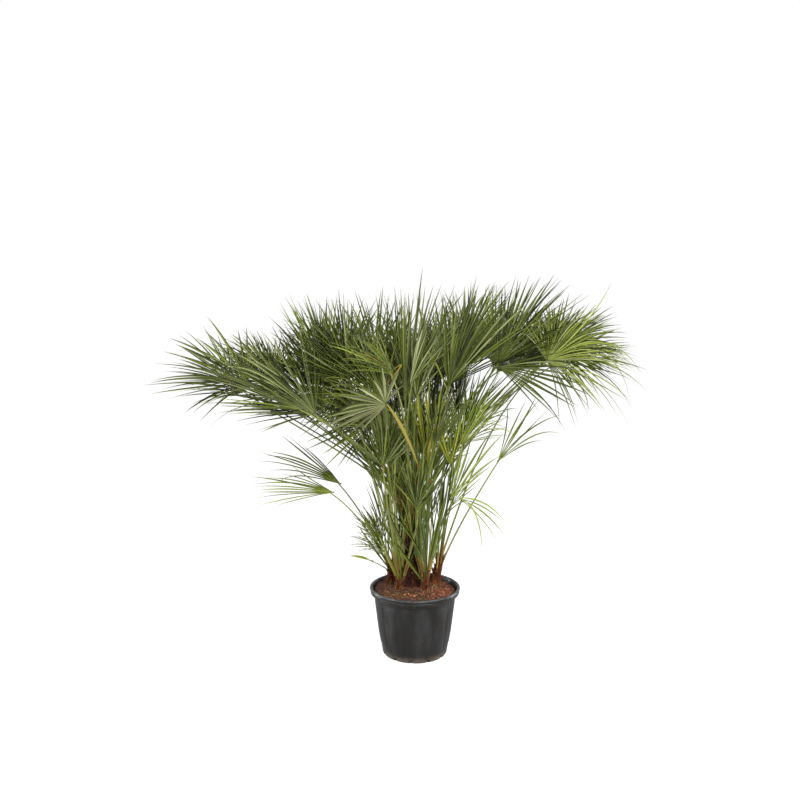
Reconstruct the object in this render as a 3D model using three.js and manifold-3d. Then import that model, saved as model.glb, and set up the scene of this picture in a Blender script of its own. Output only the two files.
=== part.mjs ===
// A clumping fan palm in its black nursery pot: a fibrous trunk, five short side
// stems and fan-shaped fronds on long stalks. Millimetres, +Z up, front towards -Y.
// The origin is the middle of the pot's flat underside.
import * as THREE from 'three';
import { mergeVertices } from 'three/addons/utils/BufferGeometryUtils.js';
import Module from 'manifold-3d';

const wasm = await Module();
wasm.setup();

const CLEAR = 0.3;

// Pot: a thin tapering shell with a rolled rim that hangs as a skirt outside the wall, over a
// collar.
const POT = {
  height: 310, rimRadius: 206, rimDepth: 28, rimLean: 3, rimRound: 3, rimCrest: 9, lipWidth: 14,
  collarDepth: 41, collarStep: 4, collarTop: 13, neckRadius: 186, waistRadius: 164.5, waistHeight: 110,
  footRadius: 148, footHeight: 14, heelHeight: 5, heelInset: 4, baseRadius: 134, wall: 3, floor: 4, sides: 32,
};

// Soil: level where the stems stand, falling a little towards the wall.
const SOIL = { top: 298, fall: 4, levelRadius: 165, slack: 0.5 };

// Stems: each stands on a flat cut, swells at its foot and tapers to a blunt head. The crown is
// the stretch below the head where stalks are seated.
const STEMS = {
  trunk: { foot: [-15, 40], head: [-12, 36], rise: 455, footRadius: 56, radius: 43, crown: 190, tip: 17 },
  side_stem_left: {
    foot: [-112, 82], head: [-104, 70], rise: 78, footRadius: 27, radius: 19, crown: 58, tip: 9,
  },
  side_stem_front: {
    foot: [-72, -26], head: [-68, -20], rise: 66, footRadius: 23, radius: 17, crown: 50, tip: 8,
  },
  side_stem_middle: {
    foot: [44, -28], head: [46, -24], rise: 68, footRadius: 24, radius: 18, crown: 50, tip: 9,
  },
  side_stem_right: {
    foot: [92, 66], head: [112, 50], rise: 104, footRadius: 32, radius: 22, crown: 84, tip: 11,
  },
  side_stem_back: {
    foot: [-30, 142], head: [-34, 136], rise: 70, footRadius: 25, radius: 18, crown: 50, tip: 9,
  },
};
const STEM_SIDES = { leastRadius: 40, thick: 14, thin: 10 };

// Stalks: four-sided, thicker at the foot, rising a little above the straight line to the hub.
const STALK = {
  footRadius: 3, footShare: 0.0044, tipShare: 0.62, rise: 0.28, follow: 0.45, sunk: 24, sides: 4, steps: 5,
  seatStep: 8, twist: 16, bow: 0.016,
};
const SWINGS = [0, 1, -1, 2, -2, 3, -3, 4, -4];

// Blades: flat wedges joined at the hub, one for each leaflet of the fan. Lengths and widths are
// shares of the blade's length, and the outer leaflets are shorter by the taper.
const BLADE = {
  wedge: 18, palm: 0.3, leastPalm: 0.08, palmStep: 0.06, belly: 0.62, bellyWidth: 0.036, taper: 0.32,
  thickness: 0.0105, least: 2.6, droopPower: 2.4, clear: 0.4,
};
const REACHES = [1, 0.84, 0.68, 0.54];

// A frond: the stem it grows from, the place of its hub, the way its blade points (turn from +X,
// lean from upright), the way its upper face looks, and the size and set of the fan.
const frond = (name, stem, hub, aim, face, blade, spread, cup, droop) =>
  ({ name, stem, hub, aim, face: face ?? [aim[0] + 180, 90 - aim[1]], blade, spread, cup, droop });

const FRONDS = [
  frond('frond_left_1', 'trunk', [-425, -200, 1125], [180, 60], [-72, 36], 500, 136, 0.35, 0.03),
  frond('frond_left_2', 'trunk', [-725, -100, 1245], [180, 70], [-70, 45], 410, 140, 0.3, 0.09),
  frond('frond_left_3', 'trunk', [-470, -320, 1160], [180, 76], [-70, 35], 380, 56, 0.3, 0.02),
  frond('frond_left_4', 'trunk', [-610, 200, 1200], [165, 48], [-45, 55], 340, 130, 0.4, 0.04),
  frond('frond_left_5', 'trunk', [-400, 80, 1220], [180, 22], [-45, 62], 430, 134, 0.35, 0.02),
  frond('frond_left_6', 'trunk', [-700, 340, 1200], [158, 50], [-50, 50], 340, 150, 0.4, 0.05),
  frond('frond_left_7', 'trunk', [-400, 340, 1210], [140, 20], [-50, 60], 420, 140, 0.4, 0.04),
  frond('frond_middle_1', 'side_stem_front', [-295, -60, 1262], [-170, 8], [-80, 72], 340, 160, 0.3, 0.02),
  frond('frond_middle_2', 'trunk', [-123, -400, 1185], [180, 100], [-90, 40], 240, 110, 0.2, 0.04),
  frond('frond_middle_3', 'side_stem_front', [-140, -300, 915], [-80, 10], [90, 75], 270, 90, 0.3, 0.03),
  frond('frond_middle_4', 'trunk', [-47, -220, 1215], [0, 15], [135, 74], 510, 82, 0.3, 0.02),
  frond('frond_middle_5', 'trunk', [15, -60, 1240], [0, 28], [-150, 62], 450, 74, 0.4, 0.03),
  frond('frond_middle_6', 'trunk', [-140, 180, 1220], [150, 8], [-60, 75], 410, 110, 0.5, 0.04),
  frond('frond_middle_7', 'side_stem_middle', [110, 160, 1230], [60, 10], [-120, 75], 430, 100, 0.5, 0.04),
  frond('frond_middle_8', 'trunk', [-280, -20, 1190], [190, 95], [-90, 45], 280, 160, 0.3, 0.04),
  frond('frond_middle_9', 'trunk', [-20, 120, 1140], [-160, 12], [-90, 70], 400, 120, 0.5, 0.05),
  frond('frond_middle_10', 'trunk', [-128, -360, 1187], [0, 8], [80, 75], 145, 90, 0.2, 0),
  frond('frond_middle_11', 'trunk', [-95, -150, 1285], [180, 54], [-80, 42], 290, 70, 0.3, 0.12),
  frond('frond_right_1', 'trunk', [141, -160, 1245], [0, 27], [-122, 60], 490, 100, 0.3, 0.03),
  frond('frond_right_2', 'trunk', [370, 40, 1320], [0, 32], [-126, 60], 490, 106, 0.3, 0.04),
  frond('frond_right_3', 'trunk', [562, -120, 1345], [0, 66], [-105, 58], 360, 196, 0.2, 0.14),
  frond('frond_right_4', 'side_stem_right', [342, -200, 1323], [-10, 106], [-120, 50], 370, 70, 0.3, 0.04),
  frond('frond_right_5', 'side_stem_right', [630, 150, 1360], [5, 74], [-110, 42], 410, 140, 0.35, 0.12),
  frond('frond_right_6', 'trunk', [480, 330, 1270], [10, 44], [-125, 55], 450, 120, 0.4, 0.05),
  frond('frond_right_7', 'trunk', [620, 400, 1310], [28, 50], [-130, 50], 400, 150, 0.4, 0.07),
  frond('frond_right_8', 'trunk', [260, 300, 1300], [40, 22], [-120, 62], 430, 120, 0.45, 0.05),
  frond('frond_back_1', 'trunk', [-320, 450, 1290], [118, 52], null, 450, 170, 0.4, 0.13),
  frond('frond_back_2', 'side_stem_back', [-40, 470, 1260], [90, 60], null, 460, 170, 0.4, 0.13),
  frond('frond_back_3', 'trunk', [210, 460, 1320], [62, 50], null, 450, 170, 0.4, 0.13),
  frond('frond_back_4', 'trunk', [430, 460, 1300], [45, 56], null, 430, 170, 0.4, 0.16),
  frond('frond_back_5', 'trunk', [-540, 430, 1215], [142, 62], null, 430, 170, 0.4, 0.16),
  frond('frond_back_6', 'trunk', [80, 400, 1040], [80, 84], null, 380, 170, 0.4, 0.16),
  frond('young_frond_right_1', 'side_stem_right', [155, -110, 735], [0, 27], [-115, 58], 360, 52,
    0.3, 0.03),
  frond('young_frond_right_2', 'side_stem_right', [190, -130, 745], [-10, 114], [-90, 32], 250, 46,
    0.2, 0.2),
  frond('young_frond_right_3', 'side_stem_right', [376, 30, 880], [0, 36], [-110, 58], 380, 44, 0.3, 0.06),
  frond('young_frond_right_4', 'side_stem_right', [190, 60, 970], [20, 14], [-115, 68], 330, 80, 0.4, 0.04),
  frond('young_frond_right_5', 'side_stem_right', [240, -30, 1030], [0, 34], [-110, 62], 310, 76,
    0.4, 0.05),
  frond('young_frond_right_6', 'side_stem_middle', [150, -120, 890], [0, 5], [-90, 78], 260, 44, 0.3, 0.03),
  frond('young_frond_left_1', 'side_stem_left', [-367, 0, 743], [180, 81], [-85, 45], 370, 42, 0.3, 0.05),
  frond('young_frond_left_2', 'side_stem_left', [-342, 90, 763], [172, 60], [-85, 50], 420, 42, 0.3, 0.06),
  frond('young_frond_left_3', 'side_stem_front', [-190, 0, 1060], [190, 100], [-90, 50], 300, 110,
    0.3, 0.05),
  frond('young_frond_left_4', 'side_stem_left', [-150, -20, 490], [185, 66], [-85, 60], 170, 50, 0.2, 0.1),
  frond('young_frond_left_5', 'side_stem_left', [-150, 60, 510], [170, 22], [-85, 60], 200, 70, 0.3, 0.06),
  frond('young_frond_left_6', 'side_stem_left', [-190, -50, 440], [180, 70], [-85, 40], 115, 14, 0.1, 0.04),
  frond('young_frond_middle_1', 'side_stem_middle', [30, -110, 480], [180, 28], [-90, 60], 290, 18,
    0.2, 0.05),
  frond('young_frond_middle_2', 'side_stem_middle', [5, -170, 710], [-90, 6], [90, 80], 220, 80, 0.3, 0.03),
  frond('young_frond_middle_3', 'side_stem_front', [-100, -110, 740], [150, 8], [-90, 78], 330, 50,
    0.3, 0.03),
  frond('young_frond_middle_4', 'side_stem_middle', [60, -70, 860], [-90, 6], [-90, 84], 350, 50,
    0.3, 0.03),
  frond('young_frond_back_1', 'side_stem_back', [-60, 230, 820], [110, 12], [-70, 70], 330, 90, 0.4, 0.06),
  frond('young_frond_back_2', 'side_stem_back', [130, 300, 880], [60, 34], null, 300, 120, 0.4, 0.08),
  frond('young_frond_back_3', 'side_stem_left', [-165, 300, 800], [125, 40], null, 300, 110, 0.4, 0.08),
  frond('young_frond_back_4', 'side_stem_right', [110, 380, 770], [75, 66], null, 300, 110, 0.4, 0.08),
];

const FINISH = {
  pot: { color: 0x2b2c2c, roughness: 0.55 },
  soil: { color: 0x3b2a1c, roughness: 1.0 },
  stem: { color: 0x4a3422, roughness: 0.95 },
  frond: { color: 0x5b6f35, roughness: 0.6 },
  young: { color: 0x6c8a3e, roughness: 0.6 },
};

const rad = THREE.MathUtils.degToRad;
const vec = (p) => new THREE.Vector3(...p);

function ray([turn, lean]) {
  const flat = Math.sin(rad(lean));
  return new THREE.Vector3(flat * Math.cos(rad(turn)), flat * Math.sin(rad(turn)), Math.cos(rad(lean)));
}

function toSolid(geometry) {
  const bare = geometry.clone();
  bare.deleteAttribute('normal');
  bare.deleteAttribute('uv');
  const merged = mergeVertices(bare, 1e-3);
  const vertProperties = new Float32Array(merged.attributes.position.array);
  const triVerts = new Uint32Array(merged.index.array);
  return new wasm.Manifold(new wasm.Mesh({ numProp: 3, vertProperties, triVerts }));
}

function toGeometry(solid) {
  const { vertProperties, triVerts } = solid.getMesh();
  const geometry = new THREE.BufferGeometry();
  geometry.setAttribute('position', new THREE.BufferAttribute(vertProperties, 3));
  geometry.setIndex(new THREE.BufferAttribute(triVerts, 1));
  geometry.computeVertexNormals();
  return geometry;
}

function reshape(geometry, place) {
  const position = geometry.attributes.position;
  for (let i = 0; i < position.count; i++) {
    const p = place(position.getX(i), position.getY(i), position.getZ(i));
    position.setXYZ(i, p.x, p.y, p.z);
  }
  return geometry;
}

function touches(a, b) {
  return a.box.intersectsBox(b.box) && a.solid.intersect(b.solid).getMesh().triVerts.length > 0;
}

function boxed(geometry) {
  geometry.computeBoundingBox();
  return { solid: toSolid(geometry), box: geometry.boundingBox.clone() };
}

// A turned shape about the vertical axis, from its outline as [radius, height] pairs.
function turned(outline, sides) {
  const profile = outline.map(([radius, height]) => new THREE.Vector2(radius, height));
  return new THREE.LatheGeometry(profile, sides).rotateX(Math.PI / 2);
}

function potOuter(height) {
  const { footHeight, footRadius, waistHeight, waistRadius, neckRadius } = POT;
  const neckHeight = POT.height - POT.rimDepth;
  if (height < waistHeight) {
    return THREE.MathUtils.mapLinear(height, footHeight, waistHeight, footRadius, waistRadius);
  }
  return THREE.MathUtils.mapLinear(height, waistHeight, neckHeight, waistRadius, neckRadius);
}

function potShell() {
  const neckHeight = POT.height - POT.rimDepth;
  const collarHeight = POT.height - POT.collarDepth;
  const inner = (radius) => radius - POT.wall;
  return turned([
    [0, 0], [POT.baseRadius, 0], [POT.footRadius - POT.heelInset, POT.heelHeight],
    [POT.footRadius, POT.footHeight], [POT.waistRadius, POT.waistHeight],
    [potOuter(collarHeight), collarHeight], [potOuter(collarHeight) + POT.collarStep, collarHeight],
    [POT.rimRadius - POT.collarTop, neckHeight], [POT.rimRadius - POT.rimLean, neckHeight],
    [POT.rimRadius, POT.height - POT.rimCrest],
    [POT.rimRadius - POT.rimRound, POT.height], [POT.rimRadius - POT.lipWidth, POT.height],
    [inner(POT.neckRadius), neckHeight], [inner(POT.waistRadius), POT.waistHeight],
    [inner(POT.footRadius), POT.footHeight], [inner(POT.baseRadius), POT.floor], [0, POT.floor],
  ], POT.sides);
}

function soilBody() {
  const inset = POT.wall + CLEAR + SOIL.slack;
  const edge = SOIL.top - SOIL.fall;
  return turned([
    [0, POT.floor + CLEAR], [POT.baseRadius - inset, POT.floor + CLEAR],
    [POT.footRadius - inset, POT.footHeight + 1], [POT.waistRadius - inset, POT.waistHeight],
    [potOuter(edge) - inset, edge], [SOIL.levelRadius, SOIL.top], [0, SOIL.top],
  ], POT.sides);
}

// A stem's outline as [radius, height above the soil] pairs.
function stemOutline({ footRadius, radius, crown, rise, tip }) {
  const flare = footRadius - radius;
  return [
    [footRadius, 0], [radius + 0.38 * flare, 0.08 * rise], [radius + 0.08 * flare, 0.22 * rise],
    [radius, rise - crown], [THREE.MathUtils.lerp(radius, tip, 0.45), rise - 0.42 * crown], [tip, rise],
  ];
}

function stemRadius(stem, height) {
  const outline = stemOutline(stem);
  for (let i = 1; i < outline.length; i++) {
    const [r0, h0] = outline[i - 1];
    const [r1, h1] = outline[i];
    if (height <= h1) return THREE.MathUtils.mapLinear(Math.max(height, 0), h0, h1, r0, r1);
  }
  return stem.tip;
}

function stemAxis(stem, height) {
  const share = Math.max(0, height / stem.rise);
  const x = THREE.MathUtils.lerp(stem.foot[0], stem.head[0], share);
  const y = THREE.MathUtils.lerp(stem.foot[1], stem.head[1], share);
  return new THREE.Vector3(x, y, SOIL.top + CLEAR + height);
}

function stemBody(stem, fat = 0) {
  const outline = stemOutline(stem).map(([radius, height]) => [radius + fat, height]);
  if (fat > 0) outline.unshift([outline[0][0], -fat]);
  outline[outline.length - 1][1] += fat;
  const closed = [[0, outline[0][1]], ...outline, [0, stem.rise + fat]];
  const sides = stem.radius < STEM_SIDES.leastRadius ? STEM_SIDES.thin : STEM_SIDES.thick;
  return reshape(turned(closed, sides), (x, y, z) => stemAxis(stem, z).add(new THREE.Vector3(x, y, 0)));
}

// The stalk's curve from a seat on the stem to the hub. A swing moves the seat round the stem and
// bows the stalk out to the same side, past what is in its way.
function stalkCurve(f, height, swing) {
  const stem = STEMS[f.stem];
  const hub = vec(f.hub);
  const axis = stemAxis(stem, height);
  const out = hub.clone().sub(axis).setZ(0).normalize();
  const side = new THREE.Vector3(-out.y, out.x, 0);
  const twist = rad(swing * STALK.twist);
  const seatWay = out.multiplyScalar(Math.cos(twist)).addScaledVector(side, Math.sin(twist));
  const seat = axis.addScaledVector(seatWay, stemRadius(stem, height) - stalkRadius(f, 0));
  const end = hub.clone().addScaledVector(f.along, STALK.sunk);
  const chord = end.clone().sub(seat);
  const third = chord.length() / 3;
  const way = chord.clone().normalize();
  const start = way.clone().add(new THREE.Vector3(0, 0, STALK.rise)).normalize();
  const finish = way.clone().lerp(f.along, STALK.follow).normalize();
  const bow = swing * STALK.bow * chord.length();
  const first = seat.clone().addScaledVector(start, third).addScaledVector(side, bow);
  const second = end.clone().addScaledVector(finish, -third).addScaledVector(side, bow);
  return new THREE.CubicBezierCurve3(seat, first, second, end);
}

// Half a stalk's width, at a share of the way from its foot to the hub.
function stalkRadius(f, share) {
  return (STALK.footRadius + STALK.footShare * f.blade) * THREE.MathUtils.lerp(1, STALK.tipShare, share);
}

function stalkBody(f) {
  const tube = new THREE.CylinderGeometry(1, 1, 1, STALK.sides, STALK.steps);
  return reshape(tube, (x, y, z) => {
    const share = y + 0.5;
    const along = f.curve.getTangent(share);
    const across = f.across.clone().addScaledVector(along, -f.across.dot(along)).normalize();
    const upper = across.clone().cross(along);
    const radius = stalkRadius(f, share);
    return f.curve.getPoint(share).addScaledVector(across, x * radius).addScaledVector(upper, z * radius);
  });
}

// The least distance between the segments pq and rs.
function segmentGap(p, q, r, s) {
  const [u, v, w] = [q.clone().sub(p), s.clone().sub(r), p.clone().sub(r)];
  const [uu, vv, uv, uw, vw] = [u.dot(u), v.dot(v), u.dot(v), u.dot(w), v.dot(w)];
  const clamp = (share) => THREE.MathUtils.clamp(share, 0, 1);
  const across = uu * vv - uv * uv;
  let first = across > 1e-6 ? clamp((uv * vw - uw * vv) / across) : 0;
  const second = clamp((uv * first + vw) / vv);
  first = clamp((uv * second - uw) / uu);
  return p.clone().addScaledVector(u, first).distanceTo(r.clone().addScaledVector(v, second));
}

// Whether two stalks, each taken as a chain of round rods, keep clear of each other.
function stalksClear(f, rods, other) {
  for (let i = 0; i < STALK.steps; i++) {
    for (let j = 0; j < STALK.steps; j++) {
      const room = stalkRadius(f, i / STALK.steps) + stalkRadius(other, j / STALK.steps) + 2 * CLEAR;
      if (segmentGap(rods[i], rods[i + 1], other.rods[j], other.rods[j + 1]) < room) return false;
    }
  }
  return true;
}

// Where the point at a distance and bearing in the flat fan comes to lie on the bent frond.
function bladePoint(f, distance, bearing, lift) {
  const across = Math.sin(bearing);
  const way = f.along.clone().multiplyScalar(Math.cos(bearing)).addScaledVector(f.across, across);
  way.addScaledVector(f.upper, f.cup * across * across).normalize();
  const length = wedgeLength(f, bearing);
  const point = vec(f.hub).addScaledVector(way, distance).addScaledVector(f.upper, lift);
  point.z -= length * f.droop * (distance / length) ** BLADE.droopPower;
  return point;
}

function wedgeLength(f, bearing) {
  const share = bearing / rad(f.spread / 2);
  return f.blade * (1 - BLADE.taper * share * share);
}

const wedgeEdge = (f, k) => rad(f.spread * (k / f.wedges - 0.5));

// Part of the fan, from wedge `first` on: the palm at its root and, past it, one leaflet of each
// given reach. Points are [distance, bearing], outline and faces both run anticlockwise.
function fan(f, first, reaches, fat = 0) {
  const root = f.palm * f.blade;
  const outline = [[0, 0], [root, wedgeEdge(f, first)]];
  const faces = [];
  reaches.forEach((reach, i) => {
    const [left, right] = [wedgeEdge(f, first + i), wedgeEdge(f, first + i + 1)];
    const notch = outline.length - 1;
    if (reach > 0) {
      const middle = (left + right) / 2;
      const length = reach * wedgeLength(f, middle);
      const half = BLADE.bellyWidth / (reach * BLADE.belly);
      const belly = BLADE.belly * length;
      outline.push([belly, middle - half], [length, middle], [belly, middle + half]);
      faces.push([notch, notch + 1, notch + 3], [notch, notch + 3, notch + 4]);
      faces.push([notch + 1, notch + 2, notch + 3]);
    }
    outline.push([root, right]);
    faces.push([0, notch, outline.length - 1]);
  });
  const count = outline.length;
  const sides = outline.flatMap((_, i) => {
    const next = (i + 1) % count;
    return [[i + count, next + count, next], [i + count, next, i]];
  });
  const under = faces.map(([i, j, k]) => [k + count, j + count, i + count]);
  const half = Math.max(BLADE.least, BLADE.thickness * f.blade) / 2 + fat;
  const sheet = (lift) => outline.map(([away, bearing]) => bladePoint(f, away, bearing, lift));
  const points = [...sheet(half), ...sheet(-half)];
  const plate = new THREE.BufferGeometry().setFromPoints(points);
  return plate.setIndex([...faces, ...under, ...sides].flat());
}

const stems = Object.entries(STEMS).map(([name, stem]) => (
  { name, body: stemBody(stem), ...boxed(stemBody(stem, CLEAR)) }
));
const potSolid = boxed(potShell());
const soilSolid = boxed(soilBody());

for (const f of FRONDS) {
  f.along = ray(f.aim);
  const face = ray(f.face);
  f.upper = face.addScaledVector(f.along, -face.dot(f.along)).normalize();
  f.across = f.upper.clone().cross(f.along);
  f.wedges = Math.max(1, Math.round(f.spread / BLADE.wedge));
  const stem = STEMS[f.stem];
  const far = vec(f.hub).sub(stemAxis(stem, stem.rise));
  f.lean = Math.atan2(Math.hypot(far.x, far.y), far.z);
}

// Upright fronds are seated first and highest. Each later one takes the highest seat, and the
// least swing, that keeps its stalk clear of those before it.
const seated = [];
function seat(f) {
  const { rise, crown } = STEMS[f.stem];
  for (let height = rise - 2; height > rise - crown; height -= STALK.seatStep) {
    for (const swing of SWINGS) {
      const curve = stalkCurve(f, height, swing);
      const rods = curve.getPoints(STALK.steps);
      if (seated.every((other) => stalksClear(f, rods, other))) return { curve, rods, height, swing };
    }
  }
  throw new Error(`${f.name} finds no clear seat`);
}
for (const f of [...FRONDS].sort((a, b) => a.lean - b.lean)) {
  Object.assign(f, seat(f));
  f.stalk = boxed(stalkBody(f));
  seated.push(f);
}

// The palms are kept clear of the stalks and of each other, then each leaflet takes the longest
// reach that clears all that is there already.
const palms = (f) => Array.from({ length: f.wedges }, (_, k) => boxed(fan(f, k, [0], BLADE.clear)));
for (const f of FRONDS) {
  for (f.palm = BLADE.palm; f.palm > BLADE.leastPalm; f.palm -= BLADE.palmStep) {
    f.plates = palms(f);
    const others = FRONDS.filter((g) => g !== f);
    const taken = others.flatMap((g) => [g.stalk, ...(g.settled ? g.plates : [])]);
    if (!f.plates.some((plate) => [...taken, ...stems].some((other) => touches(plate, other)))) break;
  }
  f.settled = true;
}
for (const f of FRONDS) {
  f.leaflets = [];
  f.reaches = f.plates.map((_, k) => {
    const others = FRONDS.filter((g) => g !== f);
    const taken = others.flatMap((g) => [g.stalk, ...g.plates, ...(g.leaflets ?? [])]);
    const blocks = [...taken, ...stems, potSolid, soilSolid];
    for (const reach of REACHES) {
      const leaflet = boxed(fan(f, k, [reach], BLADE.clear));
      if (!blocks.some((other) => touches(leaflet, other))) {
        f.leaflets.push(leaflet);
        return reach;
      }
    }
    return 0;
  });
}

function frondBody(f) {
  const whole = toSolid(fan(f, 0, f.reaches)).add(toSolid(stalkBody(f)));
  return toGeometry(whole.subtract(stems.find(({ name }) => name === f.stem).solid));
}

function piece(name, geometry, finish) {
  const mesh = new THREE.Mesh(geometry, new THREE.MeshStandardMaterial({ ...finish, metalness: 0 }));
  mesh.name = name;
  return mesh;
}

const plant = new THREE.Group();
plant.add(piece('pot', potShell(), FINISH.pot));
plant.add(piece('soil', soilBody(), FINISH.soil));
for (const { name, body } of stems) plant.add(piece(name, body, FINISH.stem));
for (const f of FRONDS) {
  plant.add(piece(f.name, frondBody(f), f.name.startsWith('young') ? FINISH.young : FINISH.frond));
}

export default plant;
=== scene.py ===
"""A clumping fan palm in its black nursery pot, dressed over its fixed frame.

Metres, +Z up, front towards -Y, with the origin in the middle of the pot's flat underside.
"""

import functools
import logging
import math
from collections.abc import Iterable, Sequence
from dataclasses import dataclass
from enum import Enum

import bmesh
import bpy
import numpy as np
from mathutils import Matrix, Vector, noise


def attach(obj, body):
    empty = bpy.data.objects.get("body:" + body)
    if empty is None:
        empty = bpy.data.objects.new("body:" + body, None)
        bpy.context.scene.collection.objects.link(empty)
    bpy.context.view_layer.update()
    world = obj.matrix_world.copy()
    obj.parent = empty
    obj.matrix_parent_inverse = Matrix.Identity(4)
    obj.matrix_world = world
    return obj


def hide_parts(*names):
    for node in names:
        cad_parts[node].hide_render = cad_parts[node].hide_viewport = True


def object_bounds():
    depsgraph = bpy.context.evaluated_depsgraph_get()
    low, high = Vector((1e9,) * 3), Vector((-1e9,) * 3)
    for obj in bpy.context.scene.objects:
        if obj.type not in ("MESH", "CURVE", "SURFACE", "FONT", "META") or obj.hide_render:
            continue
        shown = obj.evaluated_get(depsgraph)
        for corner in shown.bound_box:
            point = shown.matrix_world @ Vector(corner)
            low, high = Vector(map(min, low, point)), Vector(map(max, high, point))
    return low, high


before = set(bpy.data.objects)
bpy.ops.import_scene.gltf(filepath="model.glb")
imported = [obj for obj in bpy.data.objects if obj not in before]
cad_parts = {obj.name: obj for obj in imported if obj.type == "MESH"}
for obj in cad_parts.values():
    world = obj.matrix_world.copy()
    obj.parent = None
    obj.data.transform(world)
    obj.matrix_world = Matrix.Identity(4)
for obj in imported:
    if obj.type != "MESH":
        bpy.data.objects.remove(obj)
cad_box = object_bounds()

log = logging.getLogger("fan_palm")

ROOT = "root"
CLEAR = 0.0003
GOLDEN_ANGLE = math.radians(137.508)
SWINGS = (-4, 5)
UPWARDS = np.array([0.0, 0.0, 1.0])
THIRDS = (0, 1 / 3, 2 / 3, 1)
TONE_PARTS = 8
Pair = tuple[float, float]
Place = tuple[float, float, float]
Pairs = tuple[Pair, ...]
Numbers = tuple[float, ...]
Colour = tuple[float, float, float, float]
Array = np.ndarray
Chance = np.random.Generator
Material = bpy.types.Material
Mesh = bpy.types.Mesh
Shape = bmesh.types.BMesh


def paint(code: str) -> Colour:
    """Turns six hex digits into the linear colour that a shader takes.

    Args:
        code: the colour as it looks on a screen.

    Returns:
        Red, green, blue and a full alpha.
    """
    shares = [int(code[i : i + 2], 16) / 255 for i in (0, 2, 4)]
    red, green, blue = (s / 12.92 if s < 0.04045 else ((s + 0.055) / 1.055) ** 2.4 for s in shares)
    return (red, green, blue, 1.0)


def smooth_step(share: float | Array) -> float | Array:
    """Eases a share from 0 to 1, flat at both ends."""
    held = np.clip(share, 0, 1)
    return held * held * (3 - 2 * held)


@dataclass(frozen=True)
class Wire:
    """A node's output that takes part in Python expressions, each of which adds Math nodes."""

    nodes: "Nodes"
    socket: bpy.types.NodeSocket

    def __add__(self, other: "Wire | float") -> "Wire":
        """Adds."""
        return self.nodes.maths("ADD", self, other)

    __radd__ = __add__

    def __sub__(self, other: "Wire | float") -> "Wire":
        """Subtracts."""
        return self.nodes.maths("SUBTRACT", self, other)

    def __rsub__(self, other: float) -> "Wire":
        """Subtracts from a number."""
        return self.nodes.maths("SUBTRACT", other, self)

    def __mul__(self, other: "Wire | float") -> "Wire":
        """Multiplies."""
        return self.nodes.maths("MULTIPLY", self, other)

    __rmul__ = __mul__


@dataclass(eq=False)
class Nodes:
    """A node tree under construction."""

    tree: bpy.types.NodeTree

    def node(
        self,
        kind: str,
        settings: dict[str, object] | None = None,
        sockets: dict[str | int, object] | None = None,
        output: str | int = 0,
    ) -> Wire:
        """Adds any node.

        Args:
            kind: the node's type.
            settings: its properties, such as the operation.
            sockets: its inputs' values or wires, by name or number.
            output: which output is wanted.

        Returns:
            That output.
        """
        made = self.tree.nodes.new(kind)
        for key, value in (settings or {}).items():
            setattr(made, key, value)
        for key, value in (sockets or {}).items():
            if isinstance(value, Wire):
                self.tree.links.new(value.socket, made.inputs[key])
            else:
                made.inputs[key].default_value = value
        return Wire(self, made.outputs[output])

    def maths(self, operation: str, *values: Wire | float) -> Wire:
        """Adds a Math node of that operation on the values."""
        return self.node("ShaderNodeMath", {"operation": operation}, dict(enumerate(values)))

    def band(self, value: Wire, low: float, high: float) -> Wire:
        """Spreads the part of a value between low and high over 0 to 1, eased at both ends."""
        sockets = {"Value": value, "From Min": low, "From Max": high}
        return self.node("ShaderNodeMapRange", {"interpolation_type": "SMOOTHSTEP"}, sockets)

    def blend(self, share: Wire, first: Wire | Colour, second: Wire | Colour) -> Wire:
        """Mixes two colours by a share."""
        return self.node("ShaderNodeMix", {"data_type": "RGBA"}, {0: share, 6: first, 7: second}, output=2)


class Shader(Nodes):
    """A material under construction: its Principled shader and the nodes that feed it."""

    def __init__(self, name: str, colour: Colour, roughness: float, **plain: float | Colour) -> None:
        """Starts a material with what is the same all over it.

        Args:
            name: the material's name.
            colour: the linear base colour.
            roughness: the plain roughness.
            **plain: other Principled sockets, with underscores for spaces.
        """
        self.material = bpy.data.materials.new(name)
        self.material.use_nodes = True
        super().__init__(self.material.node_tree)
        self.surface = self.tree.nodes["Principled BSDF"]
        self.surface.inputs["Base Color"].default_value = colour
        self.surface.inputs["Roughness"].default_value = roughness
        for key, value in plain.items():
            self.surface.inputs[key.replace("_", " ")].default_value = value

    def height(self) -> Wire:
        """The point's height above the floor."""
        at = self.node("ShaderNodeTexCoord", output="Object")
        return self.node("ShaderNodeSeparateXYZ", sockets={"Vector": at}, output="Z")

    def grain(self, size: float, detail: float = 3, stretch: Place = (1, 1, 1), at: str = "Object") -> Wire:
        """Soft noise, as a value from 0 to 1.

        Args:
            size: the size of a grain.
            detail: how much finer grain it holds.
            stretch: the scale of the coordinates.
            at: the coordinates, "Object" in metres or "UV".

        Returns:
            The noise.
        """
        place = self.node("ShaderNodeTexCoord", output=at)
        place = self.node("ShaderNodeMapping", sockets={"Vector": place, "Scale": stretch})
        sockets = {"Vector": place, "Scale": 1 / size, "Detail": detail}
        return self.node("ShaderNodeTexNoise", sockets=sockets)

    def feed(self, socket: str, value: Wire) -> None:
        """Wires a value into the Principled shader."""
        self.tree.links.new(value.socket, self.surface.inputs[socket])

    def relief(self, height: Wire, depth: float) -> None:
        """Raises the surface by a height from 0 to 1, depth metres deep."""
        self.feed("Normal", self.node("ShaderNodeBump", sockets={"Height": height, "Distance": depth}))


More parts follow.
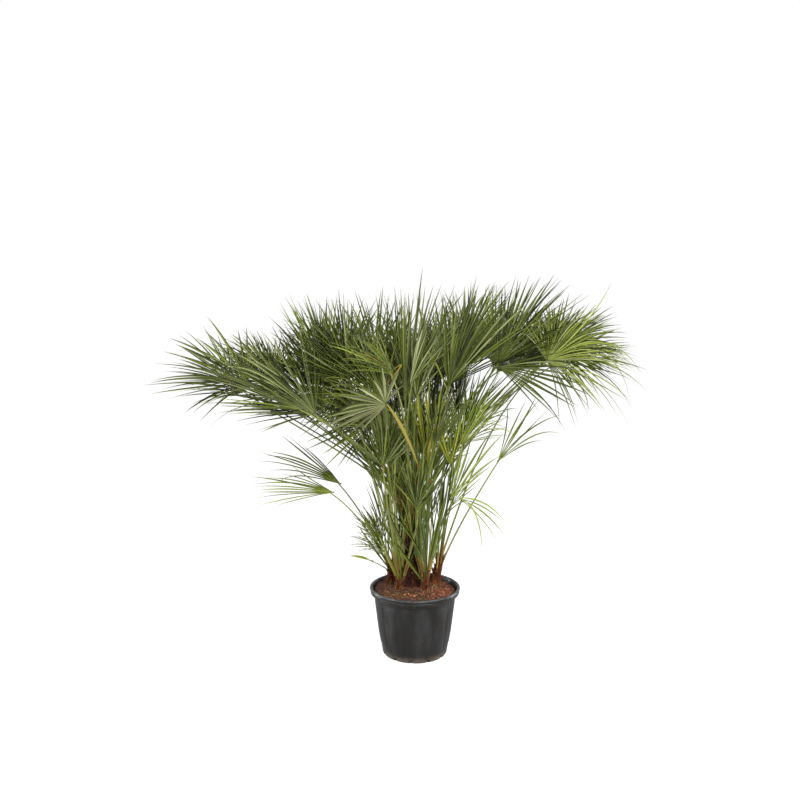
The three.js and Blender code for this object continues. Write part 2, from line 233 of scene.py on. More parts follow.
@dataclass(frozen=True)
class PotPlastic:
    """Black moulded plastic, dusty, with brown smears and soil splashed on its foot, and with painted
    highlights: a pale band along the rim's top and a brownish one on the collar's ledge.
    """

    body: str = "282725"
    worn: str = "3a3b3c"
    dust: str = "443a30"
    splash: str = "74685a"
    splash_top: float = 0.034
    # Colours and heights of the painted highlights on the rim's top and on the collar's ledge.
    lip: str = "6c7072"
    lip_from: float = 0.301
    lip_ease: float = 0.007
    ledge: str = "6a5846"
    ledge_from: float = 0.268
    ledge_to: float = 0.286
    ledge_ease: float = 0.003
    specular: float = 0.4
    coat: float = 0.3
    coat_roughness: float = 0.15

    def material(self) -> Material:
        """Makes the finish.

        Returns:
            The material.
        """
        shader = Shader(
            "pot_plastic", paint(self.body), 0.5,
            Specular_IOR_Level=self.specular, Coat_Weight=self.coat, Coat_Roughness=self.coat_roughness,
        )
        worn = shader.band(shader.grain(0.07, 4, (1, 1, 0.35)), 0.42, 0.72)
        smears = shader.band(shader.grain(0.03, 5, (1, 1, 0.22)), 0.55, 0.75)
        height = shader.height()
        fringe = height + shader.grain(0.02, 4) * 0.03
        splashed = 1 - shader.band(fringe, self.splash_top * 0.5, self.splash_top * 1.6)
        colour = shader.blend(worn, paint(self.body), paint(self.worn))
        colour = shader.blend(smears * 0.55, colour, paint(self.dust))
        colour = shader.blend(splashed * 0.8, colour, paint(self.splash))
        # Noise that breaks the painted highlights on the rim and the ledge into patches.
        highlight_patches = shader.band(shader.grain(0.018, 5, (1, 1, 2.5)), 0.42, 0.7)
        # Painted highlight on the collar's ledge: a brownish band, broken into patches.
        ledge = shader.band(height, self.ledge_from, self.ledge_from + self.ledge_ease)
        ledge = ledge * (1 - shader.band(height, self.ledge_to, self.ledge_to + self.ledge_ease))
        colour = shader.blend(ledge * highlight_patches * 0.6, colour, paint(self.ledge))
        # Painted highlight along the rim's top: a pale bluish-grey band, faint all round and brighter in
        # patches.
        lip = shader.band(height, self.lip_from, self.lip_from + self.lip_ease)
        colour = shader.blend(lip * (0.12 + highlight_patches * 0.6), colour, paint(self.lip))
        shader.feed("Base Color", colour)
        shader.feed("Roughness", 0.34 + worn * 0.12 + smears * 0.2 + splashed * 0.2)
        shader.relief(shader.grain(0.0016, 2) * 0.6 + shader.grain(0.012, 3), 0.0005)
        return shader.material


@dataclass(frozen=True)
class SoilCrumb:
    """Dark moist potting soil with fibres and crumbs."""

    dark: str = "3a2318"
    mid: str = "5a3826"
    pale: str = "80583e"

    def material(self) -> Material:
        """Makes the finish.

        Returns:
            The material.
        """
        shader = Shader("soil_crumb", paint(self.mid), 0.95)
        crumbs = shader.grain(0.006, 6)
        colour = shader.blend(shader.band(crumbs, 0.35, 0.6), paint(self.dark), paint(self.mid))
        colour = shader.blend(shader.band(shader.grain(0.0035, 3), 0.6, 0.75), colour, paint(self.pale))
        shader.feed("Base Color", colour)
        shader.relief(crumbs + shader.grain(0.002, 3) * 0.5, 0.0035)
        return shader.material


@dataclass(frozen=True)
class FibreBark:
    """Matted brown fibre, streaked up and down."""

    name: str
    dark: str
    mid: str
    light: str

    def material(self) -> Material:
        """Makes the finish.

        Returns:
            The material.
        """
        shader = Shader(self.name, paint(self.mid), 0.9, Specular_IOR_Level=0.15)
        streaks = shader.grain(0.004, 5, (1, 1, 0.09))
        patches = shader.grain(0.03, 3, (1, 1, 0.5))
        colour = shader.blend(shader.band(streaks, 0.36, 0.62), paint(self.dark), paint(self.mid))
        lit = shader.band(streaks, 0.55, 0.75) * shader.band(patches, 0.4, 0.65)
        shader.feed("Base Color", shader.blend(lit, colour, paint(self.light)))
        shader.relief(streaks, 0.002)
        return shader.material


@dataclass(frozen=True)
class PlainFinish:
    """One plain colour, for a small part of many whose colours are dealt out one by one."""

    name: str
    colour: str
    roughness: float = 0.6
    specular: float = 0.4
    grain: float = 0.003

    @functools.cache
    def material(self) -> Material:
        """Makes the finish, once for all the pieces that wear it.

        Returns:
            The material.
        """
        shader = Shader(self.name, paint(self.colour), self.roughness, Specular_IOR_Level=self.specular)
        rough = shader.grain(self.grain, 3)
        shader.feed("Roughness", self.roughness - 0.08 + rough * 0.16)
        shader.relief(rough, self.grain * 0.3)
        return shader.material


def deal(name: str, codes: Iterable[str], roughness: float, shine: float) -> list[Material]:
    """Makes numbered plain finishes, one of each colour."""
    return [PlainFinish(f"{name}_{i}", code, roughness, shine).material() for i, code in enumerate(codes)]


@dataclass(frozen=True)
class LeafFinish:
    """Waxy leaf of one plain colour, finely ribbed along its length."""

    name: str
    colour: str
    gloss: float = 0.45
    dull: float = 0.2
    shine: float = 0.22
    ribs: float = 0.0004

    @functools.cache
    def material(self) -> Material:
        """Makes the finish, once for all the pieces that wear it.

        Returns:
            The material.
        """
        shader = Shader(self.name, paint(self.colour), self.gloss, Specular_IOR_Level=self.shine)
        veins = shader.grain(1, 3, (14, 0.6, 1), "UV")
        shader.feed("Roughness", self.gloss + veins * self.dull)
        shader.relief(veins, self.ribs)
        return shader.material


@dataclass(frozen=True)
class LeafTone:
    """The plain colours of one kind of frond: four for upper sides, dark to pale, then the other parts."""

    name: str
    uppers: tuple[str, str, str, str]
    under: str
    # A darker under colour: painted shade on one half of each leaflet's under side.
    under_shaded: str
    rib: str
    kin: tuple[str, ...] = ()
    tip: str = "6e5a38"

    def materials(self) -> list[Material]:
        """The tone's materials.

        Returns:
            Four for upper sides, dark to pale, then the under side, rib, dry tip and shaded under side.
        """
        parts = {f"upper_{number}": code for number, code in enumerate(self.uppers)}
        parts |= {"under": self.under, "rib": self.rib, "tip": self.tip, "under_shaded": self.under_shaded}
        return [LeafFinish(f"{self.name}_{part}", code).material() for part, code in parts.items()]


class Tone(Enum):
    """The looks that a frond may have."""

    SILVER = LeafTone(
        "silver", ("565a38", "707648", "8e946a", "acb088"), "8a8e62", "62663e", "aaa276", ("MOSS",)
    )
    MOSS = LeafTone(
        "moss", ("3e4620", "5a6434", "78824c", "969c68"), "727a4a", "4e562e", "9aa06a", ("DEEP", "LEAF")
    )
    # Dark green: partly the leaves' own colour, partly painted shade for fronds that stand in shade.
    DEEP = LeafTone(
        "deep", ("121802", "202a06", "424f16", "64702c"), "444e20", "202808", "727e34", ("MOSS",)
    )
    LEAF = LeafTone(
        "leaf", ("38420e", "56621a", "76842c", "969e4e"), "6e783c", "48541a", "98a24e",
        ("DEEP", "FRESH", "MOSS"),
    )
    FRESH = LeafTone(
        "fresh", ("485618", "6a7c22", "8a9a38", "a6b058"), "808e44", "566624", "a8b256", ("LEAF", "SUNLIT")
    )
    SUNLIT = LeafTone(
        "sunlit", ("565e14", "7a8226", "a0a038", "b6b456"), "8a8e38", "646a1e", "b2b450", ("FRESH", "LEAF")
    )
    BRIGHT = LeafTone(
        "bright", ("4a5c1e", "66782a", "86983e", "a4b25e"), "84944a", "60702a", "a4b058", ("FRESH", "LEAF")
    )
    STRAW = LeafTone(
        "straw", ("5e5420", "746a2a", "8a7e32", "968a3c"), "7c7036", "60562a", "8e8440", (), "8a4a22"
    )


def kindred(tone: Tone) -> list[Tone]:
    """A tone and the tones that may be mixed into it."""
    return [tone, *(Tone[name] for name in tone.value.kin)]


class Batch:
    """Many small closed shapes gathered into one mesh, from arrays."""

    def __init__(self) -> None:
        """Starts empty."""
        self.points: list[Array] = []
        self.places: list[Array] = []
        self.faces: dict[int, list[Array]] = {3: [], 4: []}
        self.slots: dict[int, list[Array]] = {3: [], 4: []}
        self.count = 0

    def add(self, points: Array, faces: Iterable[tuple[Array, Array]], places: Array | None = None) -> None:
        """Adds points, and faces of three or four corners on them.

        Args:
            points: places, one to a row.
            faces: pairs of corner numbers, one face to a row, and slot numbers.
            places: each point's UV place, where the finish reads it.
        """
        for corners, slots in faces:
            sides = corners.shape[-1]
            self.faces[sides].append(corners.reshape(-1, sides) + self.count)
            self.slots[sides].append(np.broadcast_to(slots, corners.shape[:-1]).reshape(-1))
        self.points.append(points.reshape(-1, 3))
        self.places.append(np.zeros((points.size // 3, 2)) if places is None else places.reshape(-1, 2))
        self.count += points.size // 3

    def mesh(self, name: str, crease: float) -> Mesh:
        """Makes the mesh.

        Args:
            name: the mesh's name.
            crease: the angle in degrees past which edges stay sharp.

        Returns:
            The mesh, shaded smooth between its sharp edges.
        """
        kinds = [sides for sides in (3, 4) if self.faces[sides]]
        corners = [np.concatenate(self.faces[sides]) for sides in kinds]
        slots = np.concatenate([s for sides in kinds for s in self.slots[sides]])
        totals = np.concatenate([np.full(len(c), c.shape[1]) for c in corners])
        flat = np.concatenate([c.reshape(-1) for c in corners])
        mesh = bpy.data.meshes.new(name)
        mesh.vertices.add(self.count)
        mesh.vertices.foreach_set("co", np.concatenate(self.points).astype(np.float32).reshape(-1))
        mesh.loops.add(len(flat))
        mesh.loops.foreach_set("vertex_index", flat.astype(np.int32))
        mesh.polygons.add(len(totals))
        mesh.polygons.foreach_set("loop_start", (np.cumsum(totals) - totals).astype(np.int32))
        mesh.polygons.foreach_set("material_index", slots.astype(np.int32))
        places = np.concatenate(self.places)[flat].astype(np.float32)
        mesh.uv_layers.new(name="leaf").data.foreach_set("uv", places.reshape(-1))
        mesh.update(calc_edges=True)
        mesh.validate()
        mesh.shade_smooth()
        mesh.set_sharp_from_angle(angle=math.radians(crease))
        return mesh


def placed(name: str, data: bpy.types.ID) -> bpy.types.Object:
    """Puts a new object of the data into the scene.

    Args:
        name: the object's name.
        data: its mesh, light or camera.

    Returns:
        The object.
    """
    made = bpy.data.objects.new(name, data)
    bpy.context.scene.collection.objects.link(made)
    return made


def hand_over(
    name: str, mesh: Mesh, finishes: Iterable[Material], stands_for: Sequence[str] = ()
) -> None:
    """Makes a finished mesh a piece of the plant.

    Args:
        name: the piece's name.
        mesh: its mesh, in place.
        finishes: its materials, in the order of its slots.
        stands_for: the frame's nodes that it replaces.
    """
    piece = placed(name, mesh)
    for material in finishes:
        mesh.materials.append(material)
    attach(piece, ROOT)
    if stands_for:
        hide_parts(*stands_for)
    log.info("%s: %d faces", name, len(mesh.polygons))


def to_mesh(shape: Shape, name: str, crease: float = 40) -> Mesh:
    """Turns a bmesh into a mesh that is shaded smooth.

    Args:
        shape: the bmesh, which is freed.
        name: the mesh's name.
        crease: the angle in degrees past which edges stay sharp.

    Returns:
        The mesh.
    """
    mesh = bpy.data.meshes.new(name)
    shape.to_mesh(mesh)
    shape.free()
    mesh.shade_smooth()
    mesh.set_sharp_from_angle(angle=math.radians(crease))
    return mesh


def turned(outline: Sequence[Pair], steps: int) -> Shape:
    """Spins an outline of (radius, height) pairs round the vertical axis.

    Args:
        outline: the outline, which starts and ends on the axis.
        steps: how many steps the turn has.

    Returns:
        The closed shape, with its faces pointing out.
    """
    shape = bmesh.new()
    chain = [shape.verts.new((radius, 0, height)) for radius, height in outline]
    edges = [shape.edges.new(pair) for pair in zip(chain, chain[1:])]
    turn = {"cent": (0, 0, 0), "axis": (0, 0, 1), "angle": math.tau, "steps": steps}
    bmesh.ops.spin(shape, geom=chain + edges, use_merge=True, **turn)
    bmesh.ops.remove_doubles(shape, verts=shape.verts, dist=1e-6)
    bmesh.ops.recalc_face_normals(shape, faces=shape.faces)
    return shape


def template(shape: Shape) -> tuple[Array, dict[int, Array]]:
    """Reads a small bmesh as arrays, so that it can be repeated many times.

    Args:
        shape: a shape of faces with three or four corners, which is freed.

    Returns:
        Its points, and its faces' corner numbers by their number of sides.
    """
    shape.verts.index_update()
    points = np.array([v.co for v in shape.verts])
    faces: dict[int, list[list[int]]] = {3: [], 4: []}
    for face in shape.faces:
        faces[len(face.verts)].append([v.index for v in face.verts])
    shape.free()
    return points, {sides: np.array(rows, int).reshape(-1, sides) for sides, rows in faces.items() if rows}


@dataclass(frozen=True)
class StemPlan:
    """Where a stem stands, and how it tapers. Heights are above the soil."""

    foot: Pair
    head: Pair
    rise: float
    foot_radius: float
    radius: float
    crown: float
    tip: float

    def outline(self) -> list[Pair]:
        """The stem's outline.

        Returns:
            Pairs of radius and height, from the foot to the tip.
        """
        flare = self.foot_radius - self.radius
        return [
            (self.foot_radius, 0),
            (self.radius + 0.38 * flare, 0.08 * self.rise),
            (self.radius + 0.08 * flare, 0.22 * self.rise),
            (self.radius, self.rise - self.crown),
            (self.radius + 0.45 * (self.tip - self.radius), self.rise - 0.42 * self.crown),
            (self.tip, self.rise),
        ]

    def radius_at(self, height: float) -> float:
        """The stem's radius at a height."""
        radii, heights = zip(*self.outline())
        return float(np.interp(height, heights, radii))

    def axis_at(self, height: float) -> Array:
        """The middle of the stem at a height.

        Args:
            height: a height above the soil.

        Returns:
            The place on the stem's leaning middle line.
        """
        share = max(0.0, height / self.rise)
        flat = np.array(self.foot) + share * (np.array(self.head) - np.array(self.foot))
        return np.array([flat[0], flat[1], Soil.top + CLEAR + height])


@dataclass
class Pot:
    """A tapering moulded pot with a rolled rim, raised panels and drain notches.

    The heel, collar and rim are profiles of steps, out and up.
    """

    height: float = 0.310
    rim_radius: float = 0.206
    rim_depth: float = 0.028
    collar_depth: float = 0.041
    collar_gap: float = 0.002
    neck_radius: float = 0.186
    waist_radius: float = 0.1645
    waist_height: float = 0.110
    foot_radius: float = 0.148
    foot_height: float = 0.014
    base_radius: float = 0.134
    heel: Pairs = ((-0.004, 0.004), (0.0, 0.010))
    collar: Pairs = ((0.0035, 0.0), (0.005, 0.002))
    rim: Pairs = (
        (-0.0135, -0.003), (-0.0125, -0.0005), (-0.0065, 0.0), (-0.0042, 0.0015), (-0.0028, 0.009),
        (-0.0052, 0.0118), (-0.0046, 0.0142), (-0.0010, 0.0178),
    )
    roll: Pair = (0.0065, 0.0055)
    roll_from: float = -0.2
    roll_points: int = 12
    wall: float = 0.003
    wall_points: int = 40
    inner_heights: Numbers = (0.20, 0.11, 0.014)
    floor: float = 0.004
    panels: int = 14
    panel_steps: int = 14
    panel_relief: float = 0.0018
    panel_low: float = 0.052
    panel_low_ease: float = 0.008
    panel_high: float = 0.252
    panel_high_ease: float = 0.006
    panel_dome: float = 0.012
    groove_from: float = 0.72
    groove_ease: float = 0.16
    notches: int = 12
    notch_depth: float = 0.013
    notch_turn: float = 0.13
    notch_share: float = 0.12
    notch_heights: Pair = (0.002, 0.021)

    def outer_radius(self, height: float) -> float:
        """The wall's outer radius at a height."""
        heights = (self.foot_height, self.waist_height, self.height - self.rim_depth)
        return float(np.interp(height, heights, (self.foot_radius, self.waist_radius, self.neck_radius)))

    def outline(self) -> list[Pair]:
        """The whole shell's outline: out over the base, up the wall, round the rim and down inside.

        Returns:
            Pairs of radius and height, from the axis to the axis.
        """
        neck = self.height - self.rim_depth
        under = self.height - self.collar_depth
        base = [(0.0, 0.0), (self.base_radius * 0.5, 0.0), (self.base_radius, 0.0)]
        heel = [(self.foot_radius + out, up) for out, up in self.heel]
        heights = np.linspace(self.foot_height, under - self.collar_gap, self.wall_points)
        wall = [(self.outer_radius(h), float(h)) for h in heights]
        collar = [(self.outer_radius(under) + out, under + up) for out, up in self.collar]
        rim = [(self.rim_radius + out, neck + up) for out, up in self.rim]
        wide, high = self.roll
        crest = [
            (self.rim_radius - wide + wide * math.cos(turn), self.height - high + high * math.sin(turn))
            for turn in np.linspace(self.roll_from * math.pi, math.pi, self.roll_points)
        ]
        inside = [(self.outer_radius(h) - self.wall, float(h)) for h in (neck, *self.inner_heights)]
        floor = [(self.base_radius - self.wall, self.floor), (0.0, self.floor)]
        return base + heel + wall + collar + rim + crest + inside + floor

    def raise_panels(self, shape: Shape) -> None:
        """Pushes the wall's panels out between narrow flat grooves, and ends each in a round top.

        Args:
            shape: the pot's shell.
        """
        for vert in shape.verts:
            height, radius = vert.co.z, math.hypot(vert.co.x, vert.co.y)
            if not self.foot_height < height < self.height - self.collar_depth - 0.5 * self.collar_gap:
                continue
            if abs(radius - self.outer_radius(height)) > 0.5 * self.wall:
                continue
            turn = math.atan2(vert.co.y, vert.co.x) / math.tau * self.panels
            across = abs(turn - round(turn)) * 2
            low = smooth_step((height - self.panel_low) / self.panel_low_ease)
            top = self.panel_high - self.panel_dome * across * across
            high = smooth_step((top - height) / self.panel_high_ease)
            middle = 1 - smooth_step((across - self.groove_from) / self.groove_ease)
            lift = self.panel_relief * low * high * middle
            vert.co.x *= 1 + lift / radius
            vert.co.y *= 1 + lift / radius

    def cut_notches(self, shape: Shape) -> None:
        """Sinks the drain notches into the heel of the pot.

        Args:
            shape: the pot's shell.
        """
        marked = []
        low, high = self.notch_heights
        for face in shape.faces:
            middle = face.calc_center_median()
            turn = (math.atan2(middle.y, middle.x) + self.notch_turn) / math.tau * self.notches
            in_heel = low < middle.z < high and math.hypot(middle.x, middle.y) > self.base_radius
            if in_heel and abs(turn - round(turn)) < self.notch_share:
                marked.append(face)
        sunk = bmesh.ops.extrude_face_region(shape, geom=marked)["geom"]
        bmesh.ops.delete(shape, geom=marked, context="FACES")
        for vert in (v for v in sunk if isinstance(v, bmesh.types.BMVert)):
            vert.co -= Vector((vert.co.x, vert.co.y, 0)).normalized() * self.notch_depth

    def build(self) -> None:
        """Builds the pot and dresses it."""
        shape = turned(self.outline(), self.panels * self.panel_steps)
        self.raise_panels(shape)
        self.cut_notches(shape)
        mesh = to_mesh(shape, "nursery_pot", 35)
        hand_over("nursery_pot", mesh, [PotPlastic().material()], ["pot"])


@dataclass(frozen=True)
class Litter:
    """Flat splinters of one kind on the soil, all over it or heaped about a place."""

    name: str
    count: int
    length: Pair
    codes: tuple[str, ...]
    roughness: float
    specular: float
    middle: Pair | None = None
    spread: Pair = (0.0, 0.0)


@dataclass
class Soil:
    """The soil in the pot, heaped a little round the stems, with what lies on it."""

    top: float = 0.298
    edge_radius: float = 0.1812
    depth: float = 0.03
    rings: int = 40
    steps: int = 120
    heap: float = 0.007
    heap_reach: float = 0.018
    lumps: tuple[Place, ...] = ((0.0045, 38, 3.1), (0.002, 120, 7.7))
    falls: Pair = (0.002, 0.006)
    fall_from: float = 0.12
    fall_ease: float = 0.06
    low_side_ease: float = 0.25
    seed: int = 11
    litter: tuple[Litter, ...] = (
        Litter(
            "bark_chips", 900, (0.003, 0.013), ("472c1e", "583626", "6c4530", "3c251a", "8a6244"), 0.9, 0.2
        ),
        Litter(
            "red_grit", 460, (0.004, 0.014), ("a0543c", "bc7256", "703c2a"), 0.85, 0.3,
            (0.112, -0.045), (0.045, 0.050),
        ),
        Litter(
            "orange_chips", 8, (0.014, 0.024), ("b4623a", "c98660"), 0.8, 0.3,
            (-0.028, -0.098), (0.016, 0.009),
        ),
    )
    litter_edge: float = 0.006
    open_edge: float = 0.008
    stem_room: float = 0.9
    chip_scale: Place = (1, 0.5, 0.55)
    chip_tilts: Pair = (0.35, 0.25)
    chip_wear: Pair = (0.75, 1.25)
    chip_lift: float = 0.12
    fibres: int = 260
    foot_fibres: int = 340
    fibre_length: Pair = (0.012, 0.04)
    fibre_edge: float = 0.004
    fibre_bend: float = 0.5
    fibre_rest: float = 0.0005
    fibre_lift: Pair = (0.001, 0.006)
    fibre_radius: Pair = (0.0004, 0.001)
    fibre_taper: float = 0.4
    foot_spread: float = 0.03
    clump_at: Pair = (-0.085, -0.105)
    curl_at: Pair = (0.070, -0.066)
    curls: Pairs = ((0.6, 0.7), (-2.4, 0.5))
    curl_steps: Pairs = ((0, 0), (0, 0.055), (0.034, 0.062), (0.03, 0.012))
    curl_radius: float = 0.004

    def level(self, x: float, y: float) -> float:
        """The height of the soil's surface, which is lowest at the back on the right.

        Args:
            x: how far to the right.
            y: how far back.

        Returns:
            The height above the floor.
        """
        gaps = (max(0.0, math.dist((x, y), stem.foot) - stem.foot_radius) for stem in STEMS.values())
        heap = max(self.heap * math.exp(-(gap / self.heap_reach)) for gap in gaps)
        rough = sum(size * noise.noise((x * rate, y * rate, layer)) for size, rate, layer in self.lumps)
        fall, more = self.falls
        fall += more * smooth_step((x + y) / self.low_side_ease)
        fall *= smooth_step((math.hypot(x, y) - self.fall_from) / self.fall_ease)
        return self.top - fall + heap + rough

    def bed(self) -> None:
        """Makes the bed of soil."""
        outline = [(float(radius), self.top) for radius in np.linspace(0.0, self.edge_radius, self.rings)]
        outline += [(self.edge_radius - 0.002, self.top - self.depth), (0.0, self.top - self.depth)]
        shape = turned(outline, self.steps)
        for vert in shape.verts:
            if vert.co.z > self.top - 0.5 * self.depth:
                vert.co.z = self.level(vert.co.x, vert.co.y)
        mesh = to_mesh(shape, "potting_soil", 60)
        hand_over("potting_soil", mesh, [SoilCrumb().material()], ["soil"])

    def open_ground(self, dice: Chance, count: int) -> Array:
        """Finds places all over the soil that are clear of the stems.

        Args:
            dice: the source of chance.
            count: how many are wanted.

        Returns:
            The places, as x and y.
        """
        turns = dice.uniform(0, math.tau, 3 * count)
        radii = np.sqrt(dice.uniform(0, 1, 3 * count)) * (self.edge_radius - self.open_edge)
        spots = np.stack([radii * np.cos(turns), radii * np.sin(turns)], 1)
        for stem in STEMS.values():
            spots = spots[np.hypot(*(spots - stem.foot).T) > stem.foot_radius * self.stem_room]
        return spots[:count]

    def scatter(self, litter: Litter, dice: Chance) -> None:
        """Drops one kind of litter on the surface, and dresses it.

        Args:
            litter: the kind.
            dice: the source of chance.
        """
        if litter.middle is None:
            places = self.open_ground(dice, litter.count)
        else:
            places = dice.normal(litter.middle, litter.spread, (litter.count, 2))
            places = places[np.hypot(*places.T) < self.edge_radius - self.litter_edge]
        chip = bmesh.new()
        flake = {"segments": 5, "radius1": 0.5, "radius2": 0.32, "depth": 0.4}
        bmesh.ops.create_cone(chip, cap_ends=True, cap_tris=True, **flake)
        bmesh.ops.scale(chip, vec=self.chip_scale, verts=chip.verts)
        points, faces = template(chip)
        batch = Batch()
        for x, y in places:
            length = dice.uniform(*litter.length) * dice.uniform(0.6, 1)
            turn = Matrix.Rotation(dice.uniform(0, math.tau), 3, "Z")
            for axis, tilt in zip("XY", self.chip_tilts):
                turn = turn @ Matrix.Rotation(dice.normal(0, tilt), 3, axis)
            spots = points * dice.uniform(*self.chip_wear, points.shape) * length @ np.array(turn).T
            spots += (x, y, self.level(x, y) + self.chip_lift * length)
            slot = dice.integers(len(litter.codes))
            batch.add(spots, [(rows, slot) for rows in faces.values()])
        finishes = deal(litter.name.removesuffix("s"), litter.codes, litter.roughness, litter.specular)
        hand_over(litter.name, batch.mesh(litter.name, 25), finishes)

    def roots(self, dice: Chance) -> None:
        """Strews fine pale roots and fibres on the surface, and dresses them.

        Args:
            dice: the source of chance.
        """
        rod = Rod(3, 5)
        batch = Batch()
        feet = np.array([stem.foot for stem in STEMS.values()] + [self.clump_at] * 2)
        near = feet[dice.integers(len(feet), size=self.foot_fibres)]
        near = near + dice.normal(0, self.foot_spread, near.shape)
        for x, y in np.concatenate([self.open_ground(dice, self.fibres), near]):
            turn, length = dice.uniform(0, math.tau), dice.uniform(*self.fibre_length)
            bend = dice.normal(0, self.fibre_bend)
            path = [(x, y) + length * s * level_way(turn + bend * s)[:2] for s in THIRDS]
            if any(math.hypot(*spot) >= self.edge_radius - self.fibre_edge for spot in path):
                continue
            lifts = (self.fibre_rest, *dice.uniform(*self.fibre_lift, 2), self.fibre_rest)
            handles = np.array([(*spot, self.level(*spot) + lift) for spot, lift in zip(path, lifts)])
            radius = dice.uniform(*self.fibre_radius)
            rod.add_to(batch, handles, UPWARDS, radius, self.fibre_taper, dice.integers(3))
        self.sheaths(batch)
        finishes = deal("root", ("7c5a3c", "9a7850", "4c3424", "8c6e4a"), 0.85, 0.2)
        hand_over("fine_roots", batch.mesh("fine_roots", 60), finishes)

    def sheaths(self, batch: Batch) -> None:
        """Curls dry leaf sheaths up out of the soil.

        Args:
            batch: where they go.
        """
        rod = Rod(6, 12)
        x, y = self.curl_at
        for turn, size in self.curls:
            way = level_way(turn)
            foot = np.array([x, y, self.level(x, y) - 0.002]) + way * 0.006
            steps = np.array(self.curl_steps) * size
            handles = foot + steps[:, :1] * way + steps[:, 1:] * UPWARDS
            rod.add_to(batch, handles, np.cross(way, UPWARDS), self.curl_radius * size, 0.5, 3)

    def build(self) -> None:
        """Builds the bed, the chips, the grit and the roots on it, and dresses them."""
        self.bed()
        dice = np.random.default_rng(self.seed)
        for litter in self.litter:
            self.scatter(litter, dice)
        self.roots(dice)


STEMS = {
    "trunk": StemPlan((-0.015, 0.040), (-0.012, 0.036), 0.455, 0.056, 0.043, 0.190, 0.017),
    "left": StemPlan((-0.112, 0.082), (-0.104, 0.070), 0.078, 0.027, 0.019, 0.058, 0.009),
    "front": StemPlan((-0.072, -0.026), (-0.068, -0.020), 0.066, 0.023, 0.017, 0.050, 0.008),
    "middle": StemPlan((0.044, -0.028), (0.046, -0.024), 0.068, 0.024, 0.018, 0.050, 0.009),
    "right": StemPlan((0.092, 0.066), (0.112, 0.050), 0.104, 0.032, 0.022, 0.084, 0.011),
    "back": StemPlan((-0.030, 0.142), (-0.034, 0.136), 0.070, 0.025, 0.018, 0.050, 0.009),
}


@dataclass(frozen=True)
class LeafletCut:
    """How a frond's leaflets are cut, folded and bent, as shares of the leaflet unless said."""

    pitch: float = 4.6
    palm: float = 0.2
    belly: float = 1.95
    widths: Pairs = (
        (0.0, 0.0), (0.12, 0.47), (0.28, 0.92), (0.44, 1.0), (0.62, 0.82), (0.80, 0.5), (0.93, 0.22),
        (1.0, 0.07),
    )
    stations: Numbers = (0.02, 0.10, 0.16, 0.22, 0.30, 0.40, 0.51, 0.62, 0.73, 0.83, 0.93, 1.0)
    hub_fold: float = 8
    palm_fold: float = 50
    fold: float = 38
    tip_fold: float = 18
    thick: float = 0.0007
    length_spread: float = 0.08
    bearing_spread: float = 1.6
    twist_spread: float = 20
    splay_spread: float = 0.035
    hang_spread: float = 0.028
    sweep_spread: float = 0.03
    limp_share: float = 0.05
    limp_hang: float = 0.30
    dry_share: float = 0.15
    faded_share: float = 0.002
    fork: float = 0.006
    columns: Numbers = (-1, -0.52, -0.1, 0.1, 0.52, 1)


class Cut(Enum):
    """The ways that fronds are cut."""

    FULL = LeafletCut(pitch=5.3, palm=0.17, belly=1.9)
    FINE = LeafletCut(pitch=4.3, palm=0.18, belly=1.9)
    FILL = LeafletCut(
        pitch=5.6, palm=0.15, belly=1.9, bearing_spread=2.4, splay_spread=0.05, columns=(-1, -0.12, 0.12, 1)
    )
    YOUNG = LeafletCut(pitch=7.5, palm=0.13, belly=2.0, bearing_spread=2.8)
    THIN = LeafletCut(pitch=8.0, palm=0.10, belly=1.9, bearing_spread=3.2, columns=(-1, -0.12, 0.12, 1))
    HAIR = LeafletCut(pitch=4.5, palm=0.22, belly=1.15, bearing_spread=3.0, sweep_spread=0.05)
    WIDE = LeafletCut(pitch=7.0, palm=0.14, belly=2.0, limp_share=0.1, bearing_spread=2.5)
    BROAD = LeafletCut(pitch=11.0, palm=0.24, belly=1.85, bearing_spread=2.5, palm_fold=30, faded_share=0.0)
    PLUME = LeafletCut(
        pitch=5.4, palm=0.12, belly=1.9, bearing_spread=4.0, hang_spread=0.06, sweep_spread=0.05,
        limp_share=0.2,
    )
    CURLED = LeafletCut(
        pitch=4.6, palm=0.17, belly=1.6, bearing_spread=2.4, hang_spread=0.07, sweep_spread=0.05,
        limp_share=0.25,
    )
    STRAPS = LeafletCut(pitch=22.0, palm=0.2, belly=1.5, bearing_spread=3.0, faded_share=0.0)
    SPARSE = LeafletCut(pitch=15.0, palm=0.08, belly=1.6, bearing_spread=3.0, faded_share=0.0)
    LONE = LeafletCut(pitch=14.0, palm=0.1, belly=5.2, faded_share=0.0)


@dataclass(frozen=True)
class FrondPlan:
    """A frond: its stem, its hub's place, the way its blade points and faces, and its fan.

    The ways are (turn from +X, lean from upright) in degrees. Without a face, the upper side looks
    back over the hub.
    """

    name: str
    stem: str
    hub: Place
    aim: Pair
    face: Pair | None
    blade: float
    spread: float
    cup: float
    droop: float
    tone: Tone = Tone.LEAF
    cut: Cut = Cut.FULL


def numbered(group: str, *rows: tuple) -> list[FrondPlan]:
    """Makes the plans of a group of fronds, which are numbered from 1."""
    return [FrondPlan(f"{group}_{number}", *row) for number, row in enumerate(rows, 1)]


